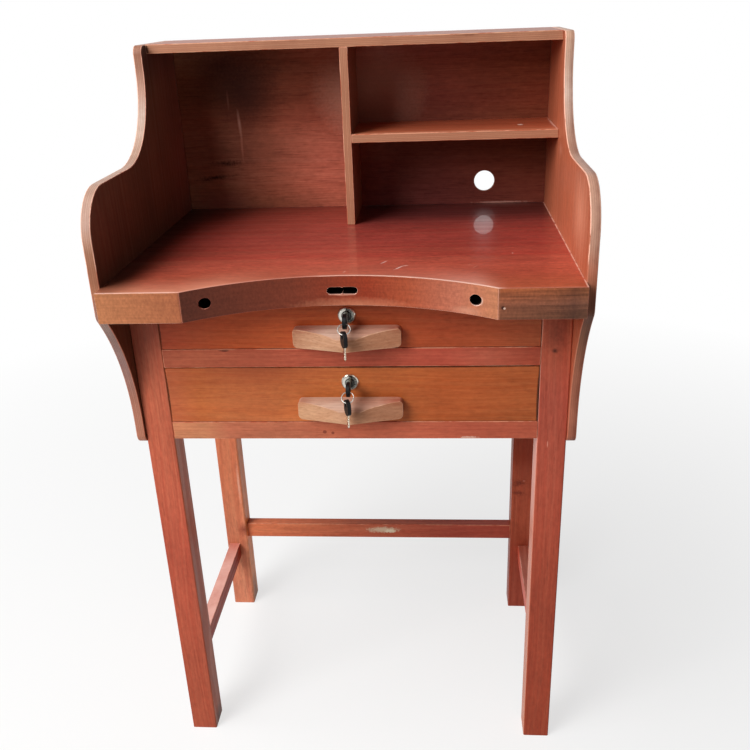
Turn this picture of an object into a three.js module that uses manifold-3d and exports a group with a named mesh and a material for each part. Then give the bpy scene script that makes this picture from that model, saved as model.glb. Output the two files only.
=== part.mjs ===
// A jeweller's bench in stained hardwood and plywood: four square legs with stretchers, a case of two
// locking drawers, a thick worktop with a scalloped front, and S-curved side panels that carry a small
// open cabinet. Millimetres, +Z up, front towards -Y, origin on the floor under the middle of the bench.
import * as THREE from 'three';
import { mergeVertices } from 'three/addons/utils/BufferGeometryUtils.js';
import Module from 'manifold-3d';

const wasm = await Module();
wasm.setup();

// Overall
const benchWidth = 600;
const benchDepth = 448;
const benchHeight = 1038;
const cabinetHeight = 260;
const plyThickness = 12;

// Fits: glued butt joints, loose joinery, sliding and turning pieces
const glueLine = 0.1;
const jointClearance = 0.3;
const runningClearance = 0.3;

// Legs and stretchers
const legSize = 39;
const legRound = 2;
const stretcherThickness = 19;
const stretcherHeight = 29;
const sideStretcherTop = 141;
const sideStretcherInset = 5;
const backStretcherTop = 179;
const tenonLength = 17;
const tenonThickness = 9;
const tenonShoulder = 4;

// Worktop
const worktopThickness = 38;
const worktopOverhang = 92;
const scallopWidth = 372;
const scallopDepth = 58;
const pinSlotWidth = 38;
const pinSlotHeight = 9.5;
const pinSlotDepth = 60;
const pinSlotOverlap = 3;
const pegHoleDiameter = 14;
const pegHoleDepth = 45;
const pegHoleSpacing = 322;

// Side panels: front outline from the foot up
const panelSetback = 20;
const panelDrop = 6;
const panelShin = 5;
const footRadius = 14;
const sweepRise = 24;
const sweepRadius = 270;
const lipRadius = 15;
const bulgeRadius = 60;
const shoulderDrop = 146;
const coveRadius = 115;
const crestRadius = 12;
const crestDepth = 155;

// Cabinet above the worktop
const cabinetSetback = 21;
const cabinetBackThickness = 5;
const dividerOffset = -11;
const shelfRise = 119;
const cableHoleDiameter = 32;
const cableHoleOffset = 192;
const cableHoleRise = 36;

// Drawer case
const railHeight = 26;
const railDepth = 32;
const upperOpening = 71;
const lowerOpening = 81;
const runnerWidth = 18;
const caseBackInset = 14;
const caseBackGroove = 6;

// Drawers
const drawerGap = 1;
const upperHeadroom = 4;
const lowerHeadroom = 1;
const drawerFrontThickness = 18;
const drawerSideThickness = 12;
const drawerSideDrop = 6;
const drawerBottomThickness = 4;
const drawerBottomRise = 8;
const drawerGroove = 5;
const drawerStopGap = 0.5;

// Pulls
const pullLength = 140;
const pullHeight = 26;
const pullRidge = 32;
const pullEnd = 13;
const pullCorner = 6;
const pullRound = 22;
const upperPullRise = 18.5;
const lowerPullRise = 23;
const pullScrewSpacing = 80;
const pullScrewDiameter = 3.6;
const pullScrewReach = 11;
const screwHeadDiameter = 8;
const screwHeadHeight = 2.6;

// Locks
const lockDrop = 21;
const barrelDiameter = 19;
const barrelProud = 3;
const collarDiameter = 23;
const collarHeight = 2.6;
const collarBevel = 1.3;
const plugDiameter = 12.4;
const plugProud = 1;
const lockPlateWidth = 46;
const lockPlateHeight = 37;
const lockPlateThickness = 1.6;
const lockTopGap = 1;
const boltWidth = 20;
const boltThickness = 5.4;
const boltWeb = 3;
const lockWall = 2;
const camOffset = 4.6;
const camPinDiameter = 2.8;
const strikeMargin = 0.7;
const strikeDepthMargin = 2;

// Keys
const bladeWidth = 7.4;
const bladeThickness = 2;
const bladeLength = 19;
const bladeTang = 9;
const bladeCutDepth = 1.6;
const bladeCutPitch = 3.2;
const bladeCuts = 4;
const bowWidth = 18;
const bowLength = 21;
const bowThickness = 5;
const bowCorner = 8;
const bowHoleDiameter = 8;
const bowHoleInset = 5.8;
const ringRadius = 8;
const ringWire = 1.6;
const ringSlack = 1.6;
const ringLean = THREE.MathUtils.degToRad(52);
const spareTurn = THREE.MathUtils.degToRad(22);
const spareClearance = 1.5;

// Facets: steps in half a turn of an arc, and sides of round pieces
const panelArcSteps = 9;
const scallopArcSteps = 16;
const smallArcSteps = 3;
const pullArcSteps = 5;
const holeSides = 32;
const lockSides = 32;
const screwSides = 12;
const wireSides = 6;
const ringSteps = 28;

// Finishes
const panelWood = { color: 0x9c5030, roughness: 0.4, metalness: 0 };
const legWood = { color: 0x9d4630, roughness: 0.4, metalness: 0 };
const topWood = { color: 0x963c2e, roughness: 0.25, metalness: 0 };
const frontWood = { color: 0xa44f28, roughness: 0.35, metalness: 0 };
const pullWood = { color: 0xb98564, roughness: 0.5, metalness: 0 };
const rawWood = { color: 0xc7a279, roughness: 0.7, metalness: 0 };
const chrome = { color: 0xd4d6d8, roughness: 0.2, metalness: 1 };
const steel = { color: 0xa9a9a6, roughness: 0.4, metalness: 1 };
const nickel = { color: 0xc9c2b2, roughness: 0.3, metalness: 1 };
const blackPlastic = { color: 0x17171a, roughness: 0.45, metalness: 0 };

// Planes shared by the pieces
const innerHalf = benchWidth / 2 - plyThickness;
const benchFront = -benchDepth / 2;
const benchBack = benchDepth / 2;
const caseFront = benchFront + worktopOverhang;
const worktopHeight = benchHeight - cabinetHeight;
const worktopUnder = worktopHeight - worktopThickness;
const legCentreX = innerHalf - glueLine - legSize / 2;
const legInner = legCentreX - legSize / 2;
const frontLegY = caseFront + legSize / 2;
const backLegY = benchBack - legSize / 2;
const caseBackY = benchBack - caseBackInset - plyThickness;
const upperRunnerTop = worktopUnder - upperOpening;
const middleRailFoot = upperRunnerTop - railHeight;
const lowerRunnerTop = middleRailFoot - lowerOpening;
const caseFoot = lowerRunnerTop - railHeight;

// Planes of a lock, from the drawer's face inwards and from the lock's axis upwards
const lockPlateY = drawerFrontThickness + glueLine;
const boltY = lockPlateY + lockPlateThickness + lockWall / 2 + runningClearance;
const boltTop = lockDrop - lockTopGap - runningClearance;
const boltTravel = 2 * camOffset;
// The cam pin lifts the bolt unevenly; the slot leaves room for the widest lag behind an even lift
const yokeAngle = Math.asin(2 / Math.PI);
const yokeLag = boltTravel * (yokeAngle / Math.PI - (1 - Math.cos(yokeAngle)) / 2);

// A closed geometry as a solid, its shared corners welded and slivers on an axis dropped
function solidOf(geometry) {
  geometry.deleteAttribute('normal');
  geometry.deleteAttribute('uv');
  const welded = mergeVertices(geometry);
  const triangles = [];
  for (let i = 0; i < welded.index.count; i += 3) {
    const [a, b, c] = [0, 1, 2].map((k) => welded.index.getX(i + k));
    if (a !== b && b !== c && c !== a) triangles.push(a, b, c);
  }
  return new wasm.Manifold(new wasm.Mesh({
    numProp: 3,
    vertProperties: new Float32Array(welded.attributes.position.array),
    triVerts: new Uint32Array(triangles),
  }));
}

function span(x0, x1, y0, y1, z0, z1) {
  return new THREE.Box3(new THREE.Vector3(x0, y0, z0), new THREE.Vector3(x1, y1, z1));
}

function block(box) {
  const size = box.getSize(new THREE.Vector3());
  const middle = box.getCenter(new THREE.Vector3());
  return solidOf(new THREE.BoxGeometry(size.x, size.y, size.z).translate(middle.x, middle.y, middle.z));
}

// The room that a box needs in the piece that takes it
function seatFor(box, clearance = jointClearance) {
  return block(box.clone().expandByScalar(clearance));
}

function rod(radius, y0, y1, x, z, sides) {
  const geometry = new THREE.CylinderGeometry(radius, radius, y1 - y0, sides);
  return solidOf(geometry.translate(x, (y0 + y1) / 2, z));
}

function turned(profile, sides) {
  return solidOf(new THREE.LatheGeometry(profile.map(([r, y]) => new THREE.Vector2(r, y)), sides));
}

function extruded(shape, depth, steps) {
  return new THREE.ExtrudeGeometry(shape, { depth, bevelEnabled: false, curveSegments: steps });
}

// Prisms along X, Y and Z of shapes drawn in Y-Z, X-Z and X-Y
function prismX(shape, x0, x1, steps) {
  const turn = new THREE.Matrix4().makeBasis(
    new THREE.Vector3(0, 1, 0), new THREE.Vector3(0, 0, 1), new THREE.Vector3(1, 0, 0));
  return solidOf(extruded(shape, x1 - x0, steps).applyMatrix4(turn).translate(x0, 0, 0));
}

function prismY(shape, y0, y1, steps) {
  return solidOf(extruded(shape, y1 - y0, steps).rotateX(Math.PI / 2).translate(0, y1, 0));
}

function prismZ(shape, z0, z1, steps) {
  return solidOf(extruded(shape, z1 - z0, steps).translate(0, 0, z0));
}

function roundedRectangle(x0, x1, y0, y1, radius) {
  const shape = new THREE.Shape();
  shape.absarc(x1 - radius, y0 + radius, radius, -Math.PI / 2, 0, false);
  shape.absarc(x1 - radius, y1 - radius, radius, 0, Math.PI / 2, false);
  shape.absarc(x0 + radius, y1 - radius, radius, Math.PI / 2, Math.PI, false);
  shape.absarc(x0 + radius, y0 + radius, radius, Math.PI, 1.5 * Math.PI, false);
  shape.closePath();
  return shape;
}

// Adds a named mesh to a group; origin is the piece's own pivot in the group
function addPiece(group, name, solid, finish, origin = [0, 0, 0]) {
  const { vertProperties, triVerts } = solid.getMesh();
  const indexed = new THREE.BufferGeometry();
  indexed.setAttribute('position', new THREE.BufferAttribute(vertProperties, 3));
  indexed.setIndex(new THREE.BufferAttribute(triVerts, 1));
  const geometry = indexed.toNonIndexed();
  geometry.translate(-origin[0], -origin[1], -origin[2]);
  geometry.computeVertexNormals();
  const mesh = new THREE.Mesh(geometry, new THREE.MeshStandardMaterial(finish));
  mesh.name = name;
  mesh.position.set(...origin);
  group.add(mesh);
  return mesh;
}

const sides = [['left', -1], ['right', 1]];
const bench = new THREE.Group();

// Tenons run right through a rail or stretcher; its shoulders stand against the legs
const railShoulder = legInner - glueLine;
const railTenonY = caseFront + railDepth / 2;

function crossTenon(y, foot, height) {
  const reach = legInner + tenonLength;
  return span(-reach, reach, y - tenonThickness / 2, y + tenonThickness / 2,
    foot + tenonShoulder, foot + height - tenonShoulder);
}

const railTenons = [middleRailFoot, caseFoot].map((foot) => crossTenon(railTenonY, foot, railHeight));
const backStretcherFoot = backStretcherTop - stretcherHeight;
const backTenon = crossTenon(backLegY, backStretcherFoot, stretcherHeight);
const caseBack = span(-legInner - caseBackGroove, legInner + caseBackGroove,
  caseBackY, caseBackY + plyThickness, caseFoot, worktopUnder - glueLine);

function sideStretcherX(side) {
  const outer = legCentreX + legSize / 2 - sideStretcherInset;
  return side * (outer - stretcherThickness / 2);
}

function sideTenon(side) {
  const x = sideStretcherX(side);
  const reach = tenonLength - legSize / 2;
  return span(x - tenonThickness / 2, x + tenonThickness / 2, frontLegY - reach, backLegY + reach,
    sideStretcherTop - stretcherHeight + tenonShoulder, sideStretcherTop - tenonShoulder);
}

function addLegs() {
  const half = legSize / 2;
  const post = prismZ(roundedRectangle(-half, half, -half, half, legRound), 0, worktopUnder - glueLine,
    smallArcSteps);
  for (const [word, side] of sides) {
    const x = side * legCentreX;
    let front = post.translate([x, frontLegY, 0]).subtract(seatFor(sideTenon(side)));
    for (const tenon of railTenons) front = front.subtract(seatFor(tenon));
    addPiece(bench, `front_leg_${word}`, front, legWood, [x, frontLegY, 0]);
    const back = post.translate([x, backLegY, 0]).subtract(seatFor(sideTenon(side)))
      .subtract(seatFor(backTenon)).subtract(seatFor(caseBack));
    addPiece(bench, `back_leg_${word}`, back, legWood, [x, backLegY, 0]);
  }
}

function addStretchers() {
  const half = stretcherThickness / 2;
  for (const [word, side] of sides) {
    const x = sideStretcherX(side);
    const bar = span(x - half, x + half, caseFront + legSize + glueLine, benchBack - legSize - glueLine,
      sideStretcherTop - stretcherHeight, sideStretcherTop);
    addPiece(bench, `side_stretcher_${word}`, block(bar).add(block(sideTenon(side))), legWood);
  }
  const bar = span(-railShoulder, railShoulder, backLegY - half, backLegY + half,
    backStretcherFoot, backStretcherTop);
  addPiece(bench, 'back_stretcher', block(bar).add(block(backTenon)), legWood);
}

// Front outline: foot, hollow sweep up to the lip under the worktop, bulge beside it, shoulder, cove, crest
function sidePanelShape() {
  const front = benchFront + panelSetback;
  const shin = caseFront - panelShin;
  const crest = benchBack - crestDepth;
  const shoulder = benchHeight - shoulderDrop;
  const foot = caseFoot - panelDrop;
  const sweepFoot = caseFoot + sweepRise;
  const sweepY = shin - sweepRadius;
  const lipY = front + lipRadius;
  const lipZ = sweepFoot + Math.sqrt((sweepRadius + lipRadius) ** 2 - (lipY - sweepY) ** 2);
  const sweepAngle = Math.atan2(lipZ - sweepFoot, lipY - sweepY);
  const shape = new THREE.Shape();
  shape.absarc(shin + footRadius, foot + footRadius, footRadius, 1.5 * Math.PI, Math.PI, true);
  shape.absarc(sweepY, sweepFoot, sweepRadius, 0, sweepAngle, false);
  shape.absarc(lipY, lipZ, lipRadius, sweepAngle + Math.PI, Math.PI, true);
  shape.absarc(front + bulgeRadius, shoulder - bulgeRadius, bulgeRadius, Math.PI, Math.PI / 2, true);
  shape.absarc(crest - coveRadius, shoulder + coveRadius, coveRadius, -Math.PI / 2, 0, false);
  shape.absarc(crest + crestRadius, benchHeight - crestRadius, crestRadius, Math.PI, Math.PI / 2, true);
  shape.lineTo(benchBack, benchHeight);
  shape.lineTo(benchBack, foot);
  shape.closePath();
  return shape;
}

function addSidePanels() {
  const shape = sidePanelShape();
  for (const [word, side] of sides) {
    const x = side * (innerHalf + plyThickness / 2);
    const sheet = prismX(shape, x - plyThickness / 2, x + plyThickness / 2, panelArcSteps);
    addPiece(bench, `side_panel_${word}`, sheet, panelWood, [x, 0, 0]);
  }
}

// Scallop: an arc through both corners of the straight front and the deepest point on the middle line
const scallopRadius = ((scallopWidth / 2) ** 2 + scallopDepth ** 2) / (2 * scallopDepth);
const scallopCentreY = benchFront + scallopDepth - scallopRadius;

function scallopFaceY(x) {
  return scallopCentreY + Math.sqrt(scallopRadius ** 2 - x ** 2);
}

function strikeBox(drawer) {
  const raised = drawer.foot + drawer.height - lockDrop + boltTop + boltTravel + strikeDepthMargin;
  const half = boltWidth / 2 + strikeMargin;
  return span(-half, half, caseFront + boltY - strikeMargin, caseFront + boltY + boltThickness + strikeMargin,
    drawer.headroomFoot - drawerGap, raised);
}

function addWorktop(upper) {
  const half = innerHalf - glueLine;
  const corner = Math.atan2(benchFront - scallopCentreY, scallopWidth / 2);
  const shape = new THREE.Shape();
  shape.absarc(0, scallopCentreY, scallopRadius, Math.PI - corner, corner, true);
  shape.lineTo(half, benchFront);
  shape.lineTo(half, benchBack);
  shape.lineTo(-half, benchBack);
  shape.lineTo(-half, benchFront);
  shape.closePath();
  let top = prismZ(shape, worktopUnder, worktopHeight, scallopArcSteps);
  const middle = worktopHeight - worktopThickness / 2;
  // The bench-pin slot is two short slots run into each other, with a cusp between them
  const slotHalf = pinSlotHeight / 2;
  const slotFoot = scallopFaceY(0) + pinSlotDepth;
  for (const side of [-1, 1]) {
    const ends = [-side * pinSlotOverlap / 2, side * pinSlotWidth / 2].sort((a, b) => a - b);
    const slot = roundedRectangle(ends[0], ends[1], middle - slotHalf, middle + slotHalf, slotHalf);
    top = top.subtract(prismY(slot, benchFront, slotFoot, smallArcSteps));
    const x = side * pegHoleSpacing / 2;
    top = top.subtract(
      rod(pegHoleDiameter / 2, benchFront, scallopFaceY(x) + pegHoleDepth, x, middle, holeSides));
  }
  addPiece(bench, 'worktop', top.subtract(block(strikeBox(upper))), topWood);
}

function addCabinet() {
  const front = benchBack - crestDepth + cabinetSetback;
  const half = innerHalf - glueLine;
  const boardFoot = benchHeight - plyThickness;
  const panelFront = benchBack - cabinetBackThickness;
  addPiece(bench, 'top_board', block(span(-half, half, front, benchBack, boardFoot, benchHeight)), panelWood);
  const sheet = span(-half, half, panelFront, benchBack, worktopHeight + glueLine, boardFoot - glueLine);
  const cableHole = rod(cableHoleDiameter / 2, panelFront - plyThickness, benchBack + plyThickness,
    cableHoleOffset, worktopHeight + cableHoleRise, holeSides);
  addPiece(bench, 'back_panel', block(sheet).subtract(cableHole), panelWood);
  const dividerRight = dividerOffset + plyThickness / 2;
  const divider = span(dividerRight - plyThickness, dividerRight, front, panelFront - glueLine,
    worktopHeight + glueLine, boardFoot - glueLine);
  addPiece(bench, 'divider', block(divider), panelWood);
  const shelfFoot = worktopHeight + shelfRise;
  addPiece(bench, 'right_shelf', block(span(dividerRight + glueLine, half, front, panelFront - glueLine,
    shelfFoot, shelfFoot + plyThickness)), panelWood);
}

function addCase(lower) {
  const names = ['middle_rail', 'bottom_rail'];
  const levels = ['upper', 'lower'];
  [upperRunnerTop, lowerRunnerTop].forEach((top, i) => {
    const foot = top - railHeight;
    let rail = block(span(-railShoulder, railShoulder, caseFront, caseFront + railDepth, foot, top));
    rail = rail.add(block(railTenons[i]));
    if (names[i] === 'middle_rail') rail = rail.subtract(block(strikeBox(lower)));
    addPiece(bench, names[i], rail, legWood);
    for (const [word, side] of sides) {
      const x = [side * railShoulder, side * (railShoulder - runnerWidth)].sort((a, b) => a - b);
      const runner = span(x[0], x[1], caseFront + railDepth + glueLine, caseBackY - glueLine, foot, top);
      addPiece(bench, `${levels[i]}_runner_${word}`, block(runner), rawWood);
    }
  });
  addPiece(bench, 'case_back', block(caseBack), panelWood);
}

// Drawer front, in the drawer's own frame: origin at the foot of its face, on the middle line
const drawerHalf = legInner - drawerGap;
const drawerLength = caseBackY - caseFront - drawerStopGap;

function addDrawerBox(group, drawer) {
  const half = drawerHalf;
  const name = drawer.name;
  const sideFoot = runningClearance - drawerGap;
  const sideTop = drawer.height - drawerSideDrop;
  const boxFront = drawerFrontThickness + glueLine;
  const insideHalf = half - drawerSideThickness;
  const floor = span(-insideHalf - drawerGroove, insideHalf + drawerGroove,
    drawerFrontThickness - drawerGroove, drawerLength,
    drawerBottomRise, drawerBottomRise + drawerBottomThickness);
  const lockZ = drawer.height - lockDrop;
  let front = block(span(-half, half, 0, drawerFrontThickness, 0, drawer.height)).subtract(seatFor(floor));
  front = front.subtract(
    rod(barrelDiameter / 2 + runningClearance, -1, drawerFrontThickness + 1, 0, lockZ, lockSides));
  for (const side of [-1, 1]) {
    front = front.subtract(rod(pullScrewDiameter / 2 + jointClearance, -1, drawerFrontThickness + 1,
      side * pullScrewSpacing / 2, drawer.pullRise, screwSides));
  }
  addPiece(group, `${name}_drawer_front`, front, frontWood);
  for (const [word, side] of sides) {
    const x = [side * half, side * insideHalf].sort((a, b) => a - b);
    const board = span(x[0], x[1], boxFront, drawerLength, sideFoot, sideTop);
    addPiece(group, `${name}_drawer_side_${word}`, block(board).subtract(seatFor(floor)), rawWood);
  }
  addPiece(group, `${name}_drawer_back`, block(span(-insideHalf + glueLine, insideHalf - glueLine,
    drawerLength - drawerSideThickness, drawerLength, floor.max.z + glueLine, sideTop)), rawWood);
  addPiece(group, `${name}_drawer_bottom`, block(floor), rawWood);
}

// Pull: a V in plan, a round-cornered bar in elevation and rounded over at its upper front, screwed on from
// inside the drawer
function addPull(group, drawer) {
  const half = pullLength / 2;
  const foot = drawer.pullRise - pullHeight / 2;
  const top = foot + pullHeight;
  const plan = new THREE.Shape();
  plan.moveTo(-half, -glueLine);
  plan.lineTo(-half, -pullEnd);
  plan.lineTo(0, -pullRidge);
  plan.lineTo(half, -pullEnd);
  plan.lineTo(half, -glueLine);
  plan.closePath();
  const bar = roundedRectangle(-half, half, foot, top, pullCorner);
  const section = new THREE.Shape();
  section.absarc(pullRound - pullRidge, top - pullRound, pullRound, Math.PI, Math.PI / 2, true);
  section.lineTo(0, top);
  section.lineTo(0, foot);
  section.lineTo(-pullRidge, foot);
  section.closePath();
  let pull = prismZ(plan, foot, top, 1)
    .intersect(prismY(bar, -pullRidge, 0, smallArcSteps))
    .intersect(prismX(section, -half, half, pullArcSteps));
  const shank = pullScrewDiameter / 2;
  const tip = -pullScrewReach;
  const seat = drawerFrontThickness + glueLine;
  const headRadius = screwHeadDiameter / 2;
  const screw = turned([[0, tip - shank], [shank, tip], [shank, seat], [headRadius, seat],
    [headRadius, seat + screwHeadHeight / 2], [headRadius / 2, seat + screwHeadHeight],
    [0, seat + screwHeadHeight]], screwSides);
  for (const [word, side] of sides) {
    const x = side * pullScrewSpacing / 2;
    pull = pull.subtract(rod(shank + jointClearance, tip - shank - jointClearance, 1, x, drawer.pullRise,
      screwSides));
    addPiece(group, `${drawer.name}_pull_screw_${word}`, screw.translate([x, 0, drawer.pullRise]), steel,
      [x, 0, drawer.pullRise]);
  }
  addPiece(group, `${drawer.name}_pull`, pull, pullWood, [0, 0, drawer.pullRise]);
}

// Lock, in its own frame: origin on the drawer's face, axis along Y, inside towards +Y
const boltFoot = -camOffset - camPinDiameter / 2 - yokeLag - runningClearance - boltWeb;
const pocketFoot = boltFoot - runningClearance;

function addLock(group, name) {
  const barrel = barrelDiameter / 2;
  const caseTop = lockDrop - lockTopGap;
  const pocket = span(-boltWidth / 2 - runningClearance, boltWidth / 2 + runningClearance,
    boltY - runningClearance, boltY + boltThickness + runningClearance, pocketFoot, caseTop + 1);
  const shellBack = pocket.max.y + lockWall;
  const plate = span(-lockPlateWidth / 2, lockPlateWidth / 2, lockPlateY, lockPlateY + lockPlateThickness,
    caseTop - lockPlateHeight, caseTop);
  const shell = span(pocket.min.x - lockWall, pocket.max.x + lockWall, lockPlateY, shellBack,
    pocketFoot - lockWall, caseTop);
  const bore = rod(plugDiameter / 2 + runningClearance, -barrelProud - 1, boltY, 0, 0, lockSides);
  const caseSolid = block(plate).add(block(shell))
    .add(rod(barrel, -barrelProud, lockPlateY + lockPlateThickness, 0, 0, lockSides))
    .subtract(bore).subtract(block(pocket));
  addPiece(group, `${name}_lock_case`, caseSolid, chrome);
  const ring = barrel + runningClearance;
  const rim = collarDiameter / 2;
  const face = -collarHeight - glueLine;
  addPiece(group, `${name}_lock_collar`, turned([[ring, -glueLine], [ring, face], [rim - collarBevel, face],
    [rim, face + collarBevel], [rim, -glueLine], [ring, -glueLine]], lockSides), chrome);
}

// Bolt: a flat bar with a cross slot for the plug's cam pin, which lifts it as the key turns
function addBolt(group, name) {
  const bar = span(-boltWidth / 2, boltWidth / 2, boltY, boltY + boltThickness, boltFoot, boltTop);
  const slotHalf = camOffset + camPinDiameter / 2 + runningClearance;
  const slotRise = camPinDiameter / 2 + yokeLag + runningClearance;
  const slot = span(-slotHalf, slotHalf, boltY - 1, boltY + boltThickness + 1,
    -camOffset - slotRise, -camOffset + slotRise);
  addPiece(group, `${name}_lock_bolt`, block(bar).subtract(block(slot)), steel);
}

// A key in its own frame: origin at the hole of its bow, blade along +Y, flat in the Y-Z plane
const shoulderY = bowLength - bowHoleInset;

function bladeShape() {
  const half = bladeWidth / 2;
  const tip = shoulderY + bladeLength;
  const shape = new THREE.Shape();
  shape.moveTo(shoulderY - bladeTang, -half);
  for (let i = 0; i < bladeCuts; i++) {
    const y = tip - half - (bladeCuts - i) * bladeCutPitch;
    shape.lineTo(y, -half);
    shape.lineTo(y + bladeCutPitch / 2, bladeCutDepth - half);
  }
  shape.lineTo(tip - half, -half);
  shape.lineTo(tip, 0);
  shape.lineTo(tip - half, half);
  shape.lineTo(shoulderY - bladeTang, half);
  shape.closePath();
  return shape;
}

function addKey(group, bladeName, bowName) {
  const half = bowThickness / 2;
  addPiece(group, bladeName, prismX(bladeShape(), -bladeThickness / 2, bladeThickness / 2, 1), nickel);
  const outline = roundedRectangle(-bowHoleInset, shoulderY, -bowWidth / 2, bowWidth / 2, bowCorner);
  const hole = new THREE.Path();
  hole.absarc(0, 0, bowHoleDiameter / 2, 0, 2 * Math.PI, true);
  outline.holes.push(hole);
  const tang = span(-bladeThickness / 2, bladeThickness / 2, shoulderY - bladeTang, shoulderY + 1,
    -bladeWidth / 2, bladeWidth / 2);
  const bow = prismX(outline, -half, half, 2 * smallArcSteps).subtract(seatFor(tang));
  addPiece(group, bowName, bow, blackPlastic);
}

// The ring leans out over the pull, far enough for the spare key to hang clear of the pull's ridge
const spareHalfDepth = (bowWidth * Math.cos(spareTurn) + bowThickness * Math.sin(spareTurn)) / 2;
const ringReach = ringSlack + 2 * ringRadius;
const spareY = -(pullRidge + spareClearance + spareHalfDepth);
const bowHoleY = spareY + ringReach * Math.sin(ringLean);
const plugFace = -barrelProud - plugProud;

function addPlugAndKey(group, name) {
  const radius = plugDiameter / 2;
  const plugEnd = boltY - 2 * runningClearance;
  const keywayFoot = bowHoleY + shoulderY + bladeLength;
  const keyway = span(-bladeThickness / 2, bladeThickness / 2, plugFace - 1, keywayFoot,
    -bladeWidth / 2, bladeWidth / 2);
  const pin = rod(camPinDiameter / 2, plugEnd - 1, boltY + boltThickness - runningClearance, 0, -camOffset,
    screwSides);
  const plug = rod(radius, plugFace, plugEnd, 0, 0, lockSides).subtract(seatFor(keyway)).add(pin);
  addPiece(group, `${name}_lock_plug`, plug, chrome);
  const key = new THREE.Group();
  key.position.y = bowHoleY;
  addKey(key, `${name}_key_blade`, `${name}_key_bow`);
  group.add(key);
}

function addRingAndSpare(group, name) {
  const hang = new THREE.Group();
  hang.position.set(0, bowHoleY - ringSlack * Math.sin(ringLean), -ringSlack * Math.cos(ringLean));
  const wire = solidOf(new THREE.TorusGeometry(ringRadius, ringWire / 2, wireSides, ringSteps));
  const ring = addPiece(hang, `${name}_key_ring`, wire, steel);
  ring.rotation.x = Math.PI / 2 - ringLean;
  ring.position.set(0, -ringRadius * Math.sin(ringLean), -ringRadius * Math.cos(ringLean));
  const spare = new THREE.Group();
  spare.position.copy(ring.position).multiplyScalar(2);
  spare.position.z -= ringSlack;
  spare.rotation.z = spareTurn;
  const down = new THREE.Group();
  down.rotation.x = -Math.PI / 2;
  addKey(down, `${name}_spare_blade`, `${name}_spare_bow`);
  spare.add(down);
  hang.add(spare);
  group.add(hang);
}

function addDrawer(drawer) {
  const group = new THREE.Group();
  group.position.set(0, caseFront, drawer.foot);
  addDrawerBox(group, drawer);
  addPull(group, drawer);
  const lock = new THREE.Group();
  lock.position.z = drawer.height - lockDrop;
  addLock(lock, drawer.name);
  addBolt(lock, drawer.name);
  addPlugAndKey(lock, drawer.name);
  addRingAndSpare(lock, drawer.name);
  group.add(lock);
  bench.add(group);
}

// headroomFoot is what stands over the drawer: the worktop, or the middle rail
const upperDrawer = {
  name: 'upper',
  foot: upperRunnerTop + drawerGap,
  height: upperOpening - upperHeadroom - drawerGap,
  headroomFoot: worktopUnder,
  pullRise: upperPullRise,
};
const lowerDrawer = {
  name: 'lower',
  foot: lowerRunnerTop + drawerGap,
  height: lowerOpening - lowerHeadroom - drawerGap,
  headroomFoot: middleRailFoot,
  pullRise: lowerPullRise,
};

addLegs();
addStretchers();
addSidePanels();
addWorktop(upperDrawer);
addCabinet();
addCase(lowerDrawer);
addDrawer(upperDrawer);
addDrawer(lowerDrawer);

export default bench;
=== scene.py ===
import math
import bpy
from mathutils import Matrix, Vector


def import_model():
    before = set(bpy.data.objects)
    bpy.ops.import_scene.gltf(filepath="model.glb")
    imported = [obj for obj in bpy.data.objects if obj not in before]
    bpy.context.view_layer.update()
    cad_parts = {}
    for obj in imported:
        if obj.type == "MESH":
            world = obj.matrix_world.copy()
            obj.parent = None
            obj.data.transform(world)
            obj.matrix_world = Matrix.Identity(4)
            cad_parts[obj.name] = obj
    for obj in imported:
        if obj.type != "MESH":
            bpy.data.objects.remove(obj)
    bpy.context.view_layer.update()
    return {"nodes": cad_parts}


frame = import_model()
nodes = frame["nodes"]
scene = bpy.context.scene
scene.view_settings.view_transform = "Standard"
print("bench: frame loaded,", len(nodes), "pieces")


# small helpers for node trees

def tone(red, green, blue):
    # screen colour 0-255 to linear
    def linear(value):
        value /= 255
        return value / 12.92 if value <= 0.04045 else ((value + 0.055) / 1.055) ** 2.4
    return (linear(red), linear(green), linear(blue), 1.0)


def toneStops(stops):
    return [(at, *tone(*colour)[:3]) for at, *colour in stops]


def addNode(tree, kind, sockets=None, **settings):
    node = tree.nodes.new(kind)
    for name, value in settings.items():
        setattr(node, name, value)
    for key, value in (sockets or {}).items():
        if isinstance(value, bpy.types.NodeSocket):
            tree.links.new(value, node.inputs[key])
        else:
            node.inputs[key].default_value = value
    return node


def placeGroup(tree, group, sockets):
    return addNode(tree, "ShaderNodeGroup", sockets, node_tree=group).outputs


def calc(tree, operation, first, second=0.0):
    return addNode(tree, "ShaderNodeMath", {0: first, 1: second}, operation=operation).outputs[0]


def times(tree, first, *others):
    for other in others:
        first = calc(tree, "MULTIPLY", first, other)
    return first


def less(tree, first, second):
    return calc(tree, "SUBTRACT", first, second)


def vectorCalc(tree, operation, first, second):
    return addNode(tree, "ShaderNodeVectorMath", {0: first, 1: second}, operation=operation).outputs[0]


def lengthOf(tree, vector):
    return addNode(tree, "ShaderNodeVectorMath", {0: vector}, operation="LENGTH").outputs["Value"]


def splitAxes(tree, vector):
    return addNode(tree, "ShaderNodeSeparateXYZ", {0: vector}).outputs


def joinAxes(tree, parts):
    return addNode(tree, "ShaderNodeCombineXYZ", parts).outputs[0]


def remap(tree, value, low, high, toLow=0.0, toHigh=1.0):
    return addNode(tree, "ShaderNodeMapRange", {0: value, 1: low, 2: high, 3: toLow, 4: toHigh}).outputs[0]


def past(tree, value, limit, blend):
    return remap(tree, value, limit, limit + blend)


def before(tree, value, limit, blend):
    return remap(tree, value, limit, limit + blend, 1.0, 0.0)


def spread(tree, value, toLow=0.0, toHigh=1.0):
    # noise seldom leaves 0.3 to 0.7
    return remap(tree, value, 0.3, 0.7, toLow, toHigh)


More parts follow.
